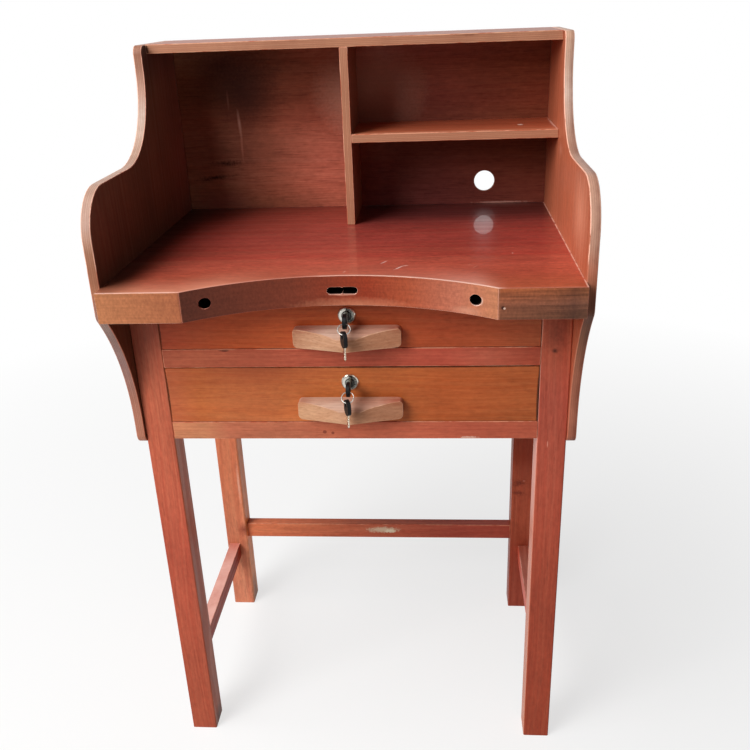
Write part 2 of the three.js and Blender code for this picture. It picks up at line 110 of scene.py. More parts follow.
def mixTone(tree, factor, first, second, blend="MIX"):
    sockets = {0: factor, 6: first, 7: second}
    return addNode(tree, "ShaderNodeMix", sockets, data_type="RGBA", blend_type=blend).outputs[2]


def tinted(tree, colour, tint, share=1.0):
    if isinstance(tint, tuple):
        tint += (1.0,)
    return mixTone(tree, share, colour, tint, "MULTIPLY")


def toneRamp(tree, place, stops):
    # colours, or greys given as one number, that follow a place in metres given first
    first, last = stops[0][0], stops[-1][0]
    ramp = addNode(tree, "ShaderNodeValToRGB", {0: remap(tree, place, first, last)})
    elements = ramp.color_ramp.elements
    while len(elements) < len(stops):
        elements.new(0.5)
    for element, (at, *colour) in zip(elements, stops):
        element.position = (at - first) / (last - first)
        element.color = (*(colour if len(colour) == 3 else colour * 3), 1.0)
    return ramp.outputs[0]


def noise(tree, coords, scale=1.0, detail=2.0, rough=0.5):
    sockets = {"Vector": coords, "Scale": scale, "Detail": detail, "Roughness": rough}
    return addNode(tree, "ShaderNodeTexNoise", sockets).outputs[0]


def stretched(tree, coords, cells, detail=2.0, rough=0.5):
    # noise with its own number of cells per metre along each axis
    return noise(tree, vectorCalc(tree, "MULTIPLY", coords, cells), 1.0, detail, rough)


def newGroup(name, inputs, outputs):
    group = bpy.data.node_groups.new(name, "ShaderNodeTree")
    kinds = {"vector": "NodeSocketVector", "colour": "NodeSocketColor", "value": "NodeSocketFloat"}
    for way, sockets in (("INPUT", inputs), ("OUTPUT", outputs)):
        for kind, labels in sockets.items():
            for label in labels:
                group.interface.new_socket(label, in_out=way, socket_type=kinds[kind])
    return group, group.nodes.new("NodeGroupInput").outputs, group.nodes.new("NodeGroupOutput").inputs


# shared effect: stained grain, with cells per metre along the grain and across it

grainSettings = {
    "slow": (1.6, 9.0, 9.0), "sway": 0.07, "rings": 190.0,
    "thread": (16.0, 380.0, 380.0), "pore": (36.0, 700.0, 700.0),
    "blotch": (5.0, 13.0, 13.0), "mottle": (110.0, 240.0, 240.0), "mottleShare": 0.4,
    "threadHeight": 0.4, "poreDepth": 0.6, "glossLow": -0.04, "glossHigh": 0.06,
}


def makeStainedGrain():
    look = grainSettings
    tree, given, result = newGroup(
        "stainedGrain",
        {"vector": ["Coords", "Pith"], "colour": ["Base", "Dark", "Light"],
         "value": ["Figure", "Streaks", "Pores", "Drift"]},
        {"colour": ["Color"], "value": ["Height", "Gloss"]})
    coords = given["Coords"]
    # growth rings round a pith line beside the board
    slow = stretched(tree, coords, look["slow"])
    sway = times(tree, less(tree, slow, 0.5), look["sway"])
    off = splitAxes(tree, vectorCalc(tree, "ADD", coords, given["Pith"]))
    across = joinAxes(tree, {1: calc(tree, "ADD", off[1], sway), 2: off[2]})
    ringSockets = {"W": times(tree, lengthOf(tree, across), look["rings"]), "Scale": 1.0, "Detail": 2.0}
    rings = addNode(tree, "ShaderNodeTexNoise", ringSockets, noise_dimensions="1D").outputs[0]
    figure = remap(tree, rings, 0.34, 0.66)
    streak = remap(tree, stretched(tree, coords, look["thread"], 4.0, 0.65), 0.34, 0.66)
    pore = remap(tree, stretched(tree, coords, look["pore"]), 0.56, 0.7)
    blotch = spread(tree, stretched(tree, coords, look["blotch"], 4.0))
    mottle = spread(tree, stretched(tree, coords, look["mottle"], 3.0, 0.6))
    uneven = addNode(tree, "ShaderNodeMix", {0: look["mottleShare"], 2: blotch, 3: mottle}).outputs[0]
    broad = mixTone(tree, times(tree, figure, given["Figure"]), given["Base"], given["Light"])
    thin = times(tree, less(tree, 1.0, streak), given["Streaks"])
    lined = mixTone(tree, thin, broad, given["Dark"])
    pored = mixTone(tree, times(tree, pore, given["Pores"]), lined, given["Dark"])
    low = less(tree, 1.0, given["Drift"])
    high = calc(tree, "ADD", 1.0, given["Drift"])
    tree.links.new(tinted(tree, pored, remap(tree, uneven, 0.0, 1.0, low, high)), result["Color"])
    raised = times(tree, streak, look["threadHeight"])
    sunk = times(tree, pore, look["poreDepth"])
    tree.links.new(less(tree, raised, sunk), result["Height"])
    gloss = remap(tree, figure, 0.0, 1.0, look["glossHigh"], look["glossLow"])
    tree.links.new(gloss, result["Gloss"])
    return tree


# shared effect: ply seen on the edge, with streaks along it, faint glue lines and stain soaked in unevenly

plySettings = {
    "thickness": 0.012, "sheets": 5.0, "runs": 14.0, "runsAcross": 7.0, "flecks": 520.0, "soaked": 16.0,
    "paleShare": 0.9, "oddShare": 0.3, "fleckShare": 0.35, "glueShare": 0.75,
}
plyTones = {"Pale": tone(194, 146, 116), "Brown": tone(166, 110, 83), "Glue": tone(106, 60, 43)}


def makePlyLayers():
    look = plySettings
    tree, given, result = newGroup(
        "plyLayers",
        {"vector": ["Coords"], "colour": ["Pale", "Brown", "Glue"], "value": ["Across", "Stain"]},
        {"colour": ["Color"]})
    coords = given["Coords"]
    layer = times(tree, given["Across"], look["sheets"])
    part = calc(tree, "FRACT", layer)
    odd = calc(tree, "MODULO", calc(tree, "FLOOR", layer), 2.0)
    shift = times(tree, given["Across"], look["runsAcross"])
    runSockets = {"Vector": coords, "W": shift, "Scale": look["runs"], "Detail": 3.0}
    runs = addNode(tree, "ShaderNodeTexNoise", runSockets, noise_dimensions="4D").outputs[0]
    run = remap(tree, runs, 0.38, 0.62)
    fleck = spread(tree, noise(tree, coords, look["flecks"]))
    soaked = remap(tree, noise(tree, coords, look["soaked"], 4.0, 0.6), 0.4, 0.72)
    streaky = mixTone(tree, times(tree, run, look["paleShare"]), given["Brown"], given["Pale"])
    sheet = mixTone(tree, times(tree, odd, look["oddShare"]), streaky, given["Brown"])
    worn = mixTone(tree, times(tree, fleck, look["fleckShare"]), sheet, given["Brown"])
    edge = calc(tree, "MINIMUM", part, less(tree, 1.0, part))
    line = times(tree, remap(tree, edge, 0.05, 0.16, look["glueShare"], 0.0), run)
    glued = mixTone(tree, line, worn, given["Glue"])
    stained = mixTone(tree, times(tree, soaked, given["Stain"]), glued, given["Glue"])
    tree.links.new(stained, result["Color"])
    return tree


# shared effects: ragged marks and scuffs

tornCells = 260.0
scuffSettings = {"start": 0.85, "drop": 0.6, "blend": 0.18}


def makeRaggedMark():
    tree, given, result = newGroup(
        "raggedMark",
        {"vector": ["Coords", "Centre", "Turn", "Reach"], "value": ["Rag", "Soft"]}, {"value": ["Mask"]})
    off = vectorCalc(tree, "SUBTRACT", given["Coords"], given["Centre"])
    sockets = {"Vector": off, "Rotation": given["Turn"]}
    turned = addNode(tree, "ShaderNodeVectorRotate", sockets, rotation_type="EULER_XYZ").outputs[0]
    away = lengthOf(tree, vectorCalc(tree, "DIVIDE", turned, given["Reach"]))
    torn = less(tree, noise(tree, given["Coords"], tornCells, 3.0), 0.5)
    edge = calc(tree, "ADD", away, times(tree, torn, given["Rag"]))
    mask = remap(tree, edge, 1.0, less(tree, 1.0, given["Soft"]))
    tree.links.new(mask, result["Mask"])
    return tree


def makeScuff():
    look = scuffSettings
    tree, given, result = newGroup(
        "scuff", {"vector": ["Coords"], "value": ["Size", "Amount"]}, {"value": ["Mask"]})
    rough = noise(tree, given["Coords"], given["Size"], 4.0, 0.65)
    start = less(tree, look["start"], times(tree, given["Amount"], look["drop"]))
    tree.links.new(remap(tree, rough, start, calc(tree, "ADD", start, look["blend"])), result["Mask"])
    return tree


stainedGrain = makeStainedGrain()
plyLayers = makePlyLayers()
raggedMark = makeRaggedMark()
scuff = makeScuff()
print("bench: shared effects ready")


# wood: one look per finish and grain direction, its tones in the order base, dark, light

finishSettings = {
    "specular": 0.15, "coatRough": 0.03, "bump": 0.12, "bumpDepth": 0.0004,
    "rubSize": 38.0, "rubLeast": 0.15, "rubBlend": 0.008,
}
frameLook = {"figure": 0.4, "pores": 0.35, "drift": 0.26, "rough": 0.42}
boardLook = {"figure": 0.5, "streaks": 0.4, "pores": 0.3, "drift": 0.12, "rough": 0.36}
drawerLook = {
    "grain": "xzy", "figure": 0.35, "streaks": 0.2, "pores": 0.35, "drift": 0.26, "rough": 0.4, "wear": 0.6}
rawLook = {"figure": 0.6, "streaks": 0.35, "pores": 0.3, "drift": 0.06, "rough": 0.6, "wear": 0.4}

woodLooks = {
    "legWood": {
        **frameLook, "grain": "zxy", "pith": (0.0, 0.09, 0.04),
        "tones": ((182, 84, 62), (132, 52, 38), (196, 106, 80)),
        "streaks": 0.24, "worn": (216, 148, 122), "wear": 0.6, "edge": 0.0009,
    },
    "railWood": {
        **frameLook, "grain": "xyz", "pith": (0.0, 0.1, 0.03),
        "tones": ((184, 90, 64), (136, 54, 38), (200, 114, 82)),
        "streaks": 0.26, "worn": (214, 146, 116), "wear": 0.75,
    },
    "stretcherWood": {
        "grain": "yxz", "pith": (0.0, 0.05, 0.06),
        "tones": ((188, 94, 72), (140, 60, 46), (206, 120, 96)),
        "figure": 0.5, "streaks": 0.3, "pores": 0.3, "drift": 0.1, "rough": 0.36, "specular": 0.05,
        "worn": (226, 166, 148), "wear": 0.8,
    },
    "sidePly": {
        "grain": "zyx", "pith": (0.0, 0.35, 0.02),
        "tones": ((179, 96, 67), (134, 58, 39), (194, 120, 87)),
        "figure": 0.45, "streaks": 0.3, "pores": 0.4, "drift": 0.28, "rough": 0.4,
        "worn": (234, 180, 156), "wear": 0.95, "wornAndLitStretches": ("z", [(0.8, 1.04)]),
        "ply": ("x", 0.288, True), "stain": 0.5, "edge": 0.001,
    },
    "shelfPly": {
        **boardLook, "grain": "xyz", "pith": (0.0, 0.2, 0.02),
        "tones": ((178, 88, 58), (136, 54, 36), (196, 110, 76)),
        "worn": (216, 152, 124), "wear": 0.8, "ply": ("z", 0.897, False), "stain": 0.0,
    },
    "topPly": {
        **boardLook, "grain": "xyz", "pith": (0.0, 0.2, 0.02),
        "tones": ((180, 92, 62), (138, 56, 38), (198, 114, 80)),
        "worn": (214, 158, 126), "wear": 0.8, "ply": ("z", 1.026, False), "stain": 0.3,
    },
    "dividerPly": {
        **boardLook, "grain": "zyx", "pith": (0.0, 0.2, 0.02), "rough": 0.4,
        "tones": ((172, 84, 58), (130, 52, 36), (190, 106, 74)),
        "worn": (214, 156, 130), "wear": 0.7, "ply": ("x", -0.017, False), "stain": 0.2,
    },
    "backPly": {
        "grain": "xyz", "pith": (0.0, 0.02, -0.55),
        "tones": ((146, 84, 64), (100, 49, 38), (155, 96, 75)),
        "figure": 0.4, "streaks": 0.35, "pores": 0.5, "drift": 0.32, "rough": 0.45, "specular": 0.06,
        "worn": (184, 116, 92), "wear": 0.4,
    },
    "worktopWood": {
        "grain": "xyz", "pith": (0.0, 0.3, 0.03),
        "tones": ((178, 72, 54), (122, 40, 32), (192, 92, 68)),
        "figure": 0.45, "streaks": 0.34, "pores": 0.45, "drift": 0.24, "rough": 0.34, "coat": 0.4,
        "worn": (238, 184, 162), "wear": 1.0, "wornAndLitStretches": ("x", [(-0.3, -0.188), (-0.03, 0.187)]),
        "edge": 0.0012, "corner": 28,
    },
    "frontWood": {
        **drawerLook, "pith": (0.0, -0.45, 0.06), "worn": (206, 134, 94),
        "tones": ((184, 98, 52), (146, 62, 30), (198, 120, 70)),
    },
    "upperFrontWood": {
        **drawerLook, "pith": (0.0, -0.5, 0.05), "worn": (206, 130, 96),
        "tones": ((186, 84, 47), (144, 53, 28), (198, 105, 62)),
    },
    "pullWood": {
        "grain": "xzy", "pith": (0.0, -0.6, 0.13),
        "tones": ((198, 146, 112), (146, 92, 64), (210, 164, 130)),
        "figure": 0.5, "streaks": 0.35, "pores": 0.35, "drift": 0.08, "rough": 0.5,
        "worn": (220, 174, 148), "wear": 0.62, "edge": 0.0016,
    },
    "rawWood": {
        **rawLook, "grain": "yxz", "pith": (0.0, 0.1, 0.05), "worn": (228, 200, 162),
        "tones": ((206, 170, 126), (168, 126, 84), (222, 192, 150)),
    },
    "rawPly": {
        **rawLook, "grain": "xyz", "pith": (0.0, 0.2, 0.02), "worn": (226, 196, 158),
        "tones": ((200, 160, 118), (164, 120, 80), (218, 184, 144)),
    },
}


def startMaterial(name):
    material = bpy.data.materials.new(name)
    material.use_nodes = True
    return material, material.node_tree, material.node_tree.nodes["Principled BSDF"].inputs


def objectPlace(tree):
    # place in metres in the rest pose
    coords = addNode(tree, "ShaderNodeTexCoord").outputs["Object"]
    return coords, splitAxes(tree, coords)


def faceMask(tree, axis, low=0.55, high=0.75):
    # 1 on faces that look along an axis
    normal = addNode(tree, "ShaderNodeTexCoord").outputs["Normal"]
    part = splitAxes(tree, normal)[axis.upper()]
    return remap(tree, calc(tree, "ABSOLUTE", part), low, high)


def scuffed(tree, coords, size, amount):
    return placeGroup(tree, scuff, {"Coords": coords, "Size": size, "Amount": amount})["Mask"]


def addBump(tree, shader, height, look):
    sockets = {"Height": height, "Strength": look["bump"], "Distance": look["bumpDepth"]}
    tree.links.new(addNode(tree, "ShaderNodeBump", sockets).outputs[0], shader["Normal"])


def grainOf(tree, look, axes):
    base, dark, light = (tone(*shade) for shade in look["tones"])
    # the grain direction comes first
    turned = joinAxes(tree, {index: axes[axis.upper()] for index, axis in enumerate(look["grain"])})
    return placeGroup(tree, stainedGrain, {
        "Coords": turned, "Pith": look["pith"], "Base": base, "Dark": dark, "Light": light,
        "Figure": look["figure"], "Streaks": look["streaks"], "Pores": look["pores"],
        "Drift": look["drift"]})


def finishWood(tree, shader, look, colour, grain):
    tree.links.new(colour, shader["Base Color"])
    tree.links.new(calc(tree, "ADD", grain["Gloss"], look["rough"]), shader["Roughness"])
    addBump(tree, shader, grain["Height"], finishSettings)
    shader["Specular IOR Level"].default_value = look.get("specular", finishSettings["specular"])
    if "coat" in look:  # varnish on the top only
        tree.links.new(times(tree, faceMask(tree, "z"), look["coat"]), shader["Coat Weight"])
        shader["Coat Roughness"].default_value = finishSettings["coatRough"]


def mark(at, reach, shade, rag=0.6, soft=0.3, strength=0.8, turn=(0.0, 0.0, 0.0)):
    # settings of one mark: centre, half sizes, colour, how torn and how soft its edge is
    return {"at": at, "reach": reach, "tone": shade, "rag": rag, "soft": soft, "strength": strength,
            "turn": turn}


def markOn(tree, colour, coords, look):
    mask = placeGroup(tree, raggedMark, {
        "Coords": coords, "Centre": look["at"], "Turn": look["turn"], "Reach": look["reach"],
        "Rag": look["rag"], "Soft": look["soft"]})["Mask"]
    return mixTone(tree, times(tree, mask, look["strength"]), colour, tone(*look["tone"]))


def woodMaterial(name, look, marks=(), extra=None, drift=None):
    material, tree, shader = startMaterial(name)
    coords, axes = objectPlace(tree)
    grain = grainOf(tree, look, axes)
    colour = grain["Color"]
    if "ply" in look:
        axis, start, mirrored = look["ply"]
        place = axes[axis.upper()]
        if mirrored:
            place = calc(tree, "ABSOLUTE", place)
        across = calc(tree, "DIVIDE", less(tree, place, start), plySettings["thickness"])
        sockets = {"Across": across, "Coords": coords, "Stain": look["stain"], **plyTones}
        layers = placeGroup(tree, plyLayers, sockets)["Color"]
        colour = mixTone(tree, faceMask(tree, axis), layers, colour)
    if extra:
        colour = extra(tree, coords, axes, colour)
    if drift:
        axis, stops = drift
        colour = tinted(tree, colour, toneRamp(tree, axes[axis.upper()], stops))
    for entry in marks:
        colour = markOn(tree, colour, coords, entry)
    finishWood(tree, shader, look, colour, grain)
    return material


def arrisMaterial(name, look):
    # thin rubbed-through line that runs along the edges
    material, tree, shader = startMaterial(name)
    coords, axes = objectPlace(tree)
    grain = grainOf(tree, look, axes)
    wornAndLit = scuffed(tree, coords, finishSettings["rubSize"], look["wear"])
    if "wornAndLitStretches" in look:  # stretches along an axis where the edge is paler: rubbed by hands and tools, and a painted highlight
        axis, stretches = look["wornAndLitStretches"]
        place = axes[axis.upper()]
        blend = finishSettings["rubBlend"]
        most = finishSettings["rubLeast"]
        for start, end in stretches:
            rise = past(tree, place, start - blend / 2, blend)
            fall = before(tree, place, end - blend / 2, blend)
            most = calc(tree, "MAXIMUM", times(tree, rise, fall), most)
        wornAndLit = times(tree, wornAndLit, most)
    finishWood(tree, shader, look, mixTone(tree, wornAndLit, grain["Color"], tone(*look["worn"])), grain)
    return material


# worktop: a redder veneer on top with painted shade and highlight, lippings of different boards along the
# front, painted shade inside its holes

benchTop = 0.778
benchFront = -0.224


def scratch(x, y, turn, half, width, shade, strength, rag=0.9, soft=0.6):
    return mark((x, y, benchTop), (half, width, 0.004), shade, rag, soft, strength, (0.0, 0.0, turn))


worktopSettings = {
    "half": 0.288, "middle": 0.759, "front": benchFront, "scallopWidth": 0.372, "scallopDepth": 0.058,
    "holeStart": 0.0012, "holeEnd": -0.09, "holeHeight": 0.0085, "holeWidth": 0.174, "holeShadeTone": (14, 9, 7),
    "lippingEnd": -0.03, "lippingGrain": (12.0, 30.0, 300.0), "lippingFleck": (420.0, 60.0, 260.0),
    "calmGrain": 0.14, "boldGrain": 0.42, "fleck": 0.16,
    "boards": [  # place along the front, tone of the lipping there
        (-0.288, 172, 110, 73), (-0.188, 161, 94, 62), (-0.185, 100, 50, 36), (-0.06, 116, 52, 34),
        (0.03, 137, 50, 27), (0.08, 152, 70, 43), (0.14, 168, 97, 74), (0.185, 172, 110, 78),
        (0.188, 138, 82, 59), (0.25, 124, 76, 56), (0.272, 98, 61, 47), (0.288, 113, 72, 54),
    ],
    "lippingHeights": [  # height, tint of the lipping right of the scallop
        (0.742, 0.66, 0.68, 0.66), (0.759, 0.95, 0.93, 0.92), (0.776, 1.3, 1.06, 0.76),
    ],
    "topGrain": [  # cells per metre, detail, roughness, contrast
        ((26.0, 130.0, 1.0), 5.0, 0.75, 0.16), ((150.0, 420.0, 1.0), 3.0, 0.6, 0.18),
    ],
    "depthShade": [  # place from front to back, painted light at the front and painted shade towards the back
        (-0.224, 1.08, 1.22, 1.05), (-0.12, 1.02, 1.24, 1.32), (-0.08, 0.95, 0.98, 1.12),
        (0.0, 0.77, 0.76, 0.98), (0.15, 0.62, 0.58, 0.72), (0.219, 0.5, 0.46, 0.54),
    ],
    # painted shade under the shelf, right of the divider
    "shelfShade": (0.42, 0.56, 0.72), "shelfShadeSide": 0.012, "shelfShadeStart": 0.05, "shelfShadeBlend": 0.1,
    "leftWallShade": [  # place along the front, painted shade towards the left panel
        (-0.288, 0.08), (-0.27, 0.14), (-0.25, 0.6), (-0.235, 0.86), (-0.15, 0.9, 0.92, 0.9), (0.0, 1.0),
    ],
    # a pale band along the front: stain rubbed thin, and painted sheen
    "paleBandWidth": 0.07, "paleBandFade": 1.8, "paleBandPatches": (40.0, 120.0, 1.0),
    "paleBandTones": [  # place along the front, colour of stain rubbed thin by arms, with painted sheen, there
        (-0.288, 176, 104, 76), (-0.25, 212, 138, 108), (-0.17, 222, 144, 116),
        (-0.08, 204, 120, 95), (0.0, 206, 124, 100), (0.16, 238, 172, 152), (0.2, 194, 112, 74),
        (0.288, 176, 92, 52),
    ],
    "paleBandShares": [
        (-0.288, 0.7), (-0.24, 1.0), (-0.15, 1.0), (-0.08, 0.4), (0.0, 0.35), (0.1, 0.3), (0.17, 0.85),
        (0.2, 0.4), (0.288, 0.4),
    ],
    "paleEdgeTone": (252, 210, 194), "paleEdgeWidth": 0.0022,
    "paleEdgeShares": [  # place along the front, how pale the very edge is: worn through, and a painted highlight
        (-0.288, 0.5), (-0.2, 0.7), (-0.18, 0.2), (-0.05, 0.2), (-0.01, 0.6), (0.08, 0.8), (0.185, 0.95),
        (0.195, 0.1), (0.288, 0.1),
    ],
    "fillerTone": (226, 172, 152), "fillerWidth": 0.0024, "fillerSize": 60.0, "fillerAmount": 0.85,
    "marks": [
        scratch(0.049, -0.11, -1.05, 0.0095, 0.0014, (240, 206, 196), 0.6),
        scratch(0.0685, -0.136, -1.0, 0.0105, 0.0015, (246, 218, 208), 0.7),
        scratch(0.0765, -0.1275, -0.4, 0.006, 0.0014, (240, 206, 196), 0.6),
        scratch(0.002, -0.15, -1.3, 0.006, 0.0013, (226, 176, 160), 0.5),
        scratch(0.163, -0.136, -1.1, 0.007, 0.0012, (214, 150, 128), 0.5, rag=1.2, soft=0.8),
        scratch(0.156, -0.128, -0.5, 0.004, 0.0012, (214, 150, 128), 0.5, rag=1.2, soft=0.8),
        # painted shadow of the left panel at the back left corner
        mark((-0.264, 0.19, benchTop), (0.1, 0.16, 0.004), (22, 6, 4), rag=0.3, soft=1.0),
        mark((0.2137, -0.0775, benchTop), (0.0013, 0.0022, 0.004), (236, 196, 182), rag=0.5, soft=0.6),
        mark((0.1915, benchFront, 0.7545), (0.0024, 0.004, 0.0024), (60, 30, 22), rag=0.4, strength=0.9),
        mark((0.1932, benchFront, 0.7537), (0.0015, 0.004, 0.0015), (230, 196, 176), rag=0.5),
        # painted highlight on the lower lip of the pin slot
        mark((0.0, -0.166, 0.7535), (0.019, 0.004, 0.0016), (196, 132, 108), rag=0.5, soft=0.8,
             strength=0.6),
        mark((0.1675, -0.2125, 0.759), (0.0022, 0.006, 0.006), (214, 190, 172), soft=0.8, strength=0.7),
        mark((0.015, -0.168, 0.741), (0.085, 0.025, 0.011), (200, 128, 96), soft=1.0, strength=0.65),
        mark((0.15, -0.2045, 0.7445), (0.026, 0.02, 0.006), (196, 140, 114), rag=0.7, soft=0.8,
             strength=0.5),
    ],
}


def worktopLipping(tree, coords, axes):
    look = worktopSettings
    end = look["scallopWidth"] / 2
    board = toneRamp(tree, axes[0], toneStops(look["boards"]))
    # bolder grain on the board right of the scallop
    contrast = remap(tree, axes[0], end, end + 0.004, look["calmGrain"], look["boldGrain"])
    long = stretched(tree, coords, look["lippingGrain"], 5.0, 0.65)
    lines = spread(tree, long, less(tree, 1.0, contrast), calc(tree, "ADD", 1.0, contrast))
    short = stretched(tree, coords, look["lippingFleck"], 3.0)
    fleck = spread(tree, short, 1.0 - look["fleck"], 1.0 + look["fleck"])
    lined = tinted(tree, tinted(tree, board, lines), fleck)
    right = past(tree, axes[0], end + 0.001, 0.002)
    return tinted(tree, lined, toneRamp(tree, axes[2], look["lippingHeights"]), right)


def worktopTop(tree, coords, axes, colour, inset):
    look = worktopSettings
    # painted light at the front and painted shade towards the back
    depthShaded = tinted(tree, colour, toneRamp(tree, axes[1], look["depthShade"]))
    for cells, detail, rough, contrast in look["topGrain"]:
        lines = stretched(tree, coords, cells, detail, rough)
        depthShaded = tinted(tree, depthShaded, spread(tree, lines, 1.0 - contrast, 1.0 + contrast))
    # painted shade under the shelf, right of the divider
    side = past(tree, axes[0], -look["shelfShadeSide"], 2 * look["shelfShadeSide"])
    under = times(tree, side, past(tree, axes[1], look["shelfShadeStart"], look["shelfShadeBlend"]))
    shelfShaded = tinted(tree, depthShaded, look["shelfShade"], under)
    # painted shade towards the left panel
    leftWallShaded = tinted(tree, shelfShaded, toneRamp(tree, axes[0], look["leftWallShade"]))
    # rubbed thin along the front with painted sheen, and pale at the very edge: worn through, and a painted
    # highlight
    fade = calc(tree, "POWER", before(tree, inset, 0.0, look["paleBandWidth"]), look["paleBandFade"])
    patchy = spread(tree, stretched(tree, coords, look["paleBandPatches"], 4.0, 0.6), 0.75, 1.0)
    share = times(tree, fade, patchy, toneRamp(tree, axes[0], look["paleBandShares"]))
    wornAndLit = mixTone(tree, share, leftWallShaded, toneRamp(tree, axes[0], toneStops(look["paleBandTones"])))
    rim = before(tree, inset, look["paleEdgeWidth"], 0.002)
    paleEdge = times(tree, rim, toneRamp(tree, axes[0], look["paleEdgeShares"]))
    return mixTone(tree, paleEdge, wornAndLit, tone(*look["paleEdgeTone"]))


def worktopFinish(tree, coords, axes, colour):
    look = worktopSettings
    # distance behind the scalloped front, measured on the plan
    depth = look["scallopDepth"]
    radius = ((look["scallopWidth"] / 2) ** 2 + depth ** 2) / (2 * depth)
    outward = vectorCalc(tree, "SUBTRACT", coords, (0.0, look["front"] + depth - radius, 0.0))
    reach = lengthOf(tree, vectorCalc(tree, "MULTIPLY", outward, (1.0, 1.0, 0.0)))
    curved = less(tree, reach, radius)
    inset = calc(tree, "MINIMUM", curved, less(tree, axes[1], look["front"]))
    top = worktopTop(tree, coords, axes, colour, inset)
    inner = past(tree, axes[1], look["lippingEnd"], 0.01)
    lipped = mixTone(tree, inner, worktopLipping(tree, coords, axes), colour)
    fitted = mixTone(tree, faceMask(tree, "z"), lipped, top)
    # pale filler along the joint with the right side panel
    joint = look["half"] - look["fillerWidth"]
    broken = scuffed(tree, coords, look["fillerSize"], look["fillerAmount"])
    filler = times(tree, past(tree, axes[0], joint, 0.001), broken, faceMask(tree, "z"))
    filled = mixTone(tree, filler, fitted, tone(*look["fillerTone"]))
    # everything behind the scalloped face at half height is the inside of a hole, painted near-black as
    # shade
    behind = past(tree, curved, look["holeStart"], 0.0028)
    high = calc(tree, "ABSOLUTE", less(tree, axes[2], look["middle"]))
    level = before(tree, high, look["holeHeight"], 0.001)
    inward = before(tree, calc(tree, "ABSOLUTE", axes[0]), look["holeWidth"], 0.002)
    ahead = before(tree, axes[1], look["holeEnd"], 0.004)
    hole = times(tree, behind, level, inward, ahead)
    return mixTone(tree, hole, filled, tone(*look["holeShadeTone"]))


# side panels: painted shade on the left one's inside that changes with height and depth, painted highlight
# and shade by height on both front edges

panelSettings = {
    "inside": 0.2925, "soakFrom": 0.292, "soakTo": 0.2985, "soakShare": 0.8, "soakPatches": 24.0,
    "leftInside": [
        (0.53, 0.26, 0.3, 0.28), (0.75, 0.26, 0.3, 0.28), (0.77, 0.22, 0.33, 0.38),
        (0.85, 0.37, 0.6, 0.76), (0.98, 0.38, 0.84, 1.05), (1.03, 0.24, 0.5, 0.8),
    ],
    "leftDepths": [
        (-0.2, 0.95, 0.8, 0.8), (0.0, 1.0), (0.1, 1.05, 1.05, 1.1), (0.217, 1.6, 1.45, 1.7),
    ],
    "leftEdge": [
        (0.53, 1.05, 0.9, 0.95), (0.6, 0.86, 0.78, 0.9), (0.66, 0.8, 1.0, 1.5),
        (0.73, 0.7, 0.98, 1.4), (0.77, 0.86, 0.8, 0.77), (0.8, 0.88, 0.82, 0.8),
        (0.82, 0.95, 1.0, 1.05), (0.85, 1.1, 1.45, 1.9), (0.9, 1.1, 1.5, 1.9),
        (0.95, 1.15, 1.8, 2.5), (0.975, 0.98, 1.2, 1.5), (1.03, 0.85, 0.85, 0.9),
    ],
    "rightEdge": [
        (0.53, 1.0, 0.75, 0.78), (0.63, 0.95, 0.72, 0.72), (0.7, 0.5, 0.42, 0.36),
        (0.735, 0.34, 0.26, 0.26), (0.765, 0.9, 0.66, 0.54), (0.79, 1.4, 1.15, 1.2),
        (0.82, 1.4, 1.65, 2.0), (0.86, 1.35, 1.7, 2.1), (0.9, 1.2, 1.4, 1.65),
        (0.96, 1.6, 2.5, 3.5), (1.03, 1.5, 2.0, 2.4),
    ],
}


def panelEdge(tree):
    return less(tree, 1.0, faceMask(tree, "x"))


def leftPanelShade(tree, coords, axes, colour):
    look = panelSettings
    # painted shade on the inside, with painted light towards the back corner
    inner = times(tree, past(tree, axes[0], -look["inside"] - 0.001, 0.001), faceMask(tree, "x"))
    high = tinted(tree, colour, toneRamp(tree, axes[2], look["leftInside"]))
    dark = tinted(tree, high, toneRamp(tree, axes[1], look["leftDepths"]))
    faces = mixTone(tree, inner, colour, dark)
    # painted highlight and shade along the front edge, by height
    return tinted(tree, faces, toneRamp(tree, axes[2], look["leftEdge"]), panelEdge(tree))


def rightPanelSoakAndShade(tree, coords, axes, colour):
    # the outer sheets of this edge have soaked up more
    look = panelSettings
    outer = remap(tree, axes[0], look["soakFrom"], look["soakTo"], 0.0, look["soakShare"])
    patchy = remap(tree, noise(tree, coords, look["soakPatches"], 4.0, 0.6), 0.32, 0.6, 0.3, 1.0)
    soaked = mixTone(tree, times(tree, panelEdge(tree), outer, patchy), colour, plyTones["Glue"])
    # painted highlight and shade along the front edge, by height
    return tinted(tree, soaked, toneRamp(tree, axes[2], look["rightEdge"]), panelEdge(tree))


# side stretchers: pale on top, worn by feet and a painted highlight, less so towards the back; painted
# shade and light on their sides

paleTopSettings = {"tone": (232, 180, 168), "patches": 26.0, "from": 0.18, "to": 0.12, "least": 0.3}
stretcherTints = {
    "side_stretcher_left": {"share": 1.0, "sides": (0.78, 0.37, 0.26)},
    "side_stretcher_right": {"share": 0.25, "sides": (1.3, 0.9, 0.85)},
}


def paleTopAndSideShade(name):
    look = {**paleTopSettings, **stretcherTints[name]}

    def wornAndLit(tree, coords, axes, colour):
        worn = remap(tree, noise(tree, coords, look["patches"], 4.0, 0.6), 0.35, 0.65, 0.55, 0.95)
        ahead = remap(tree, axes[1], look["from"], look["to"], look["least"], 1.0)
        share = times(tree, faceMask(tree, "z"), look["share"], worn, ahead)
        # painted shade on the left stretcher's sides, painted light on the right one's
        sides = tinted(tree, colour, look["sides"], faceMask(tree, "x"))
        return mixTone(tree, share, sides, tone(*look["tone"]))
    return wornAndLit


# pulls: a painted bluish sheen where they face up

pullSheen = (1.14, 1.35, 1.75)


def pullTopSheen(tree, coords, axes, colour):
    return tinted(tree, colour, pullSheen, faceMask(tree, "z", 0.3, 0.8))
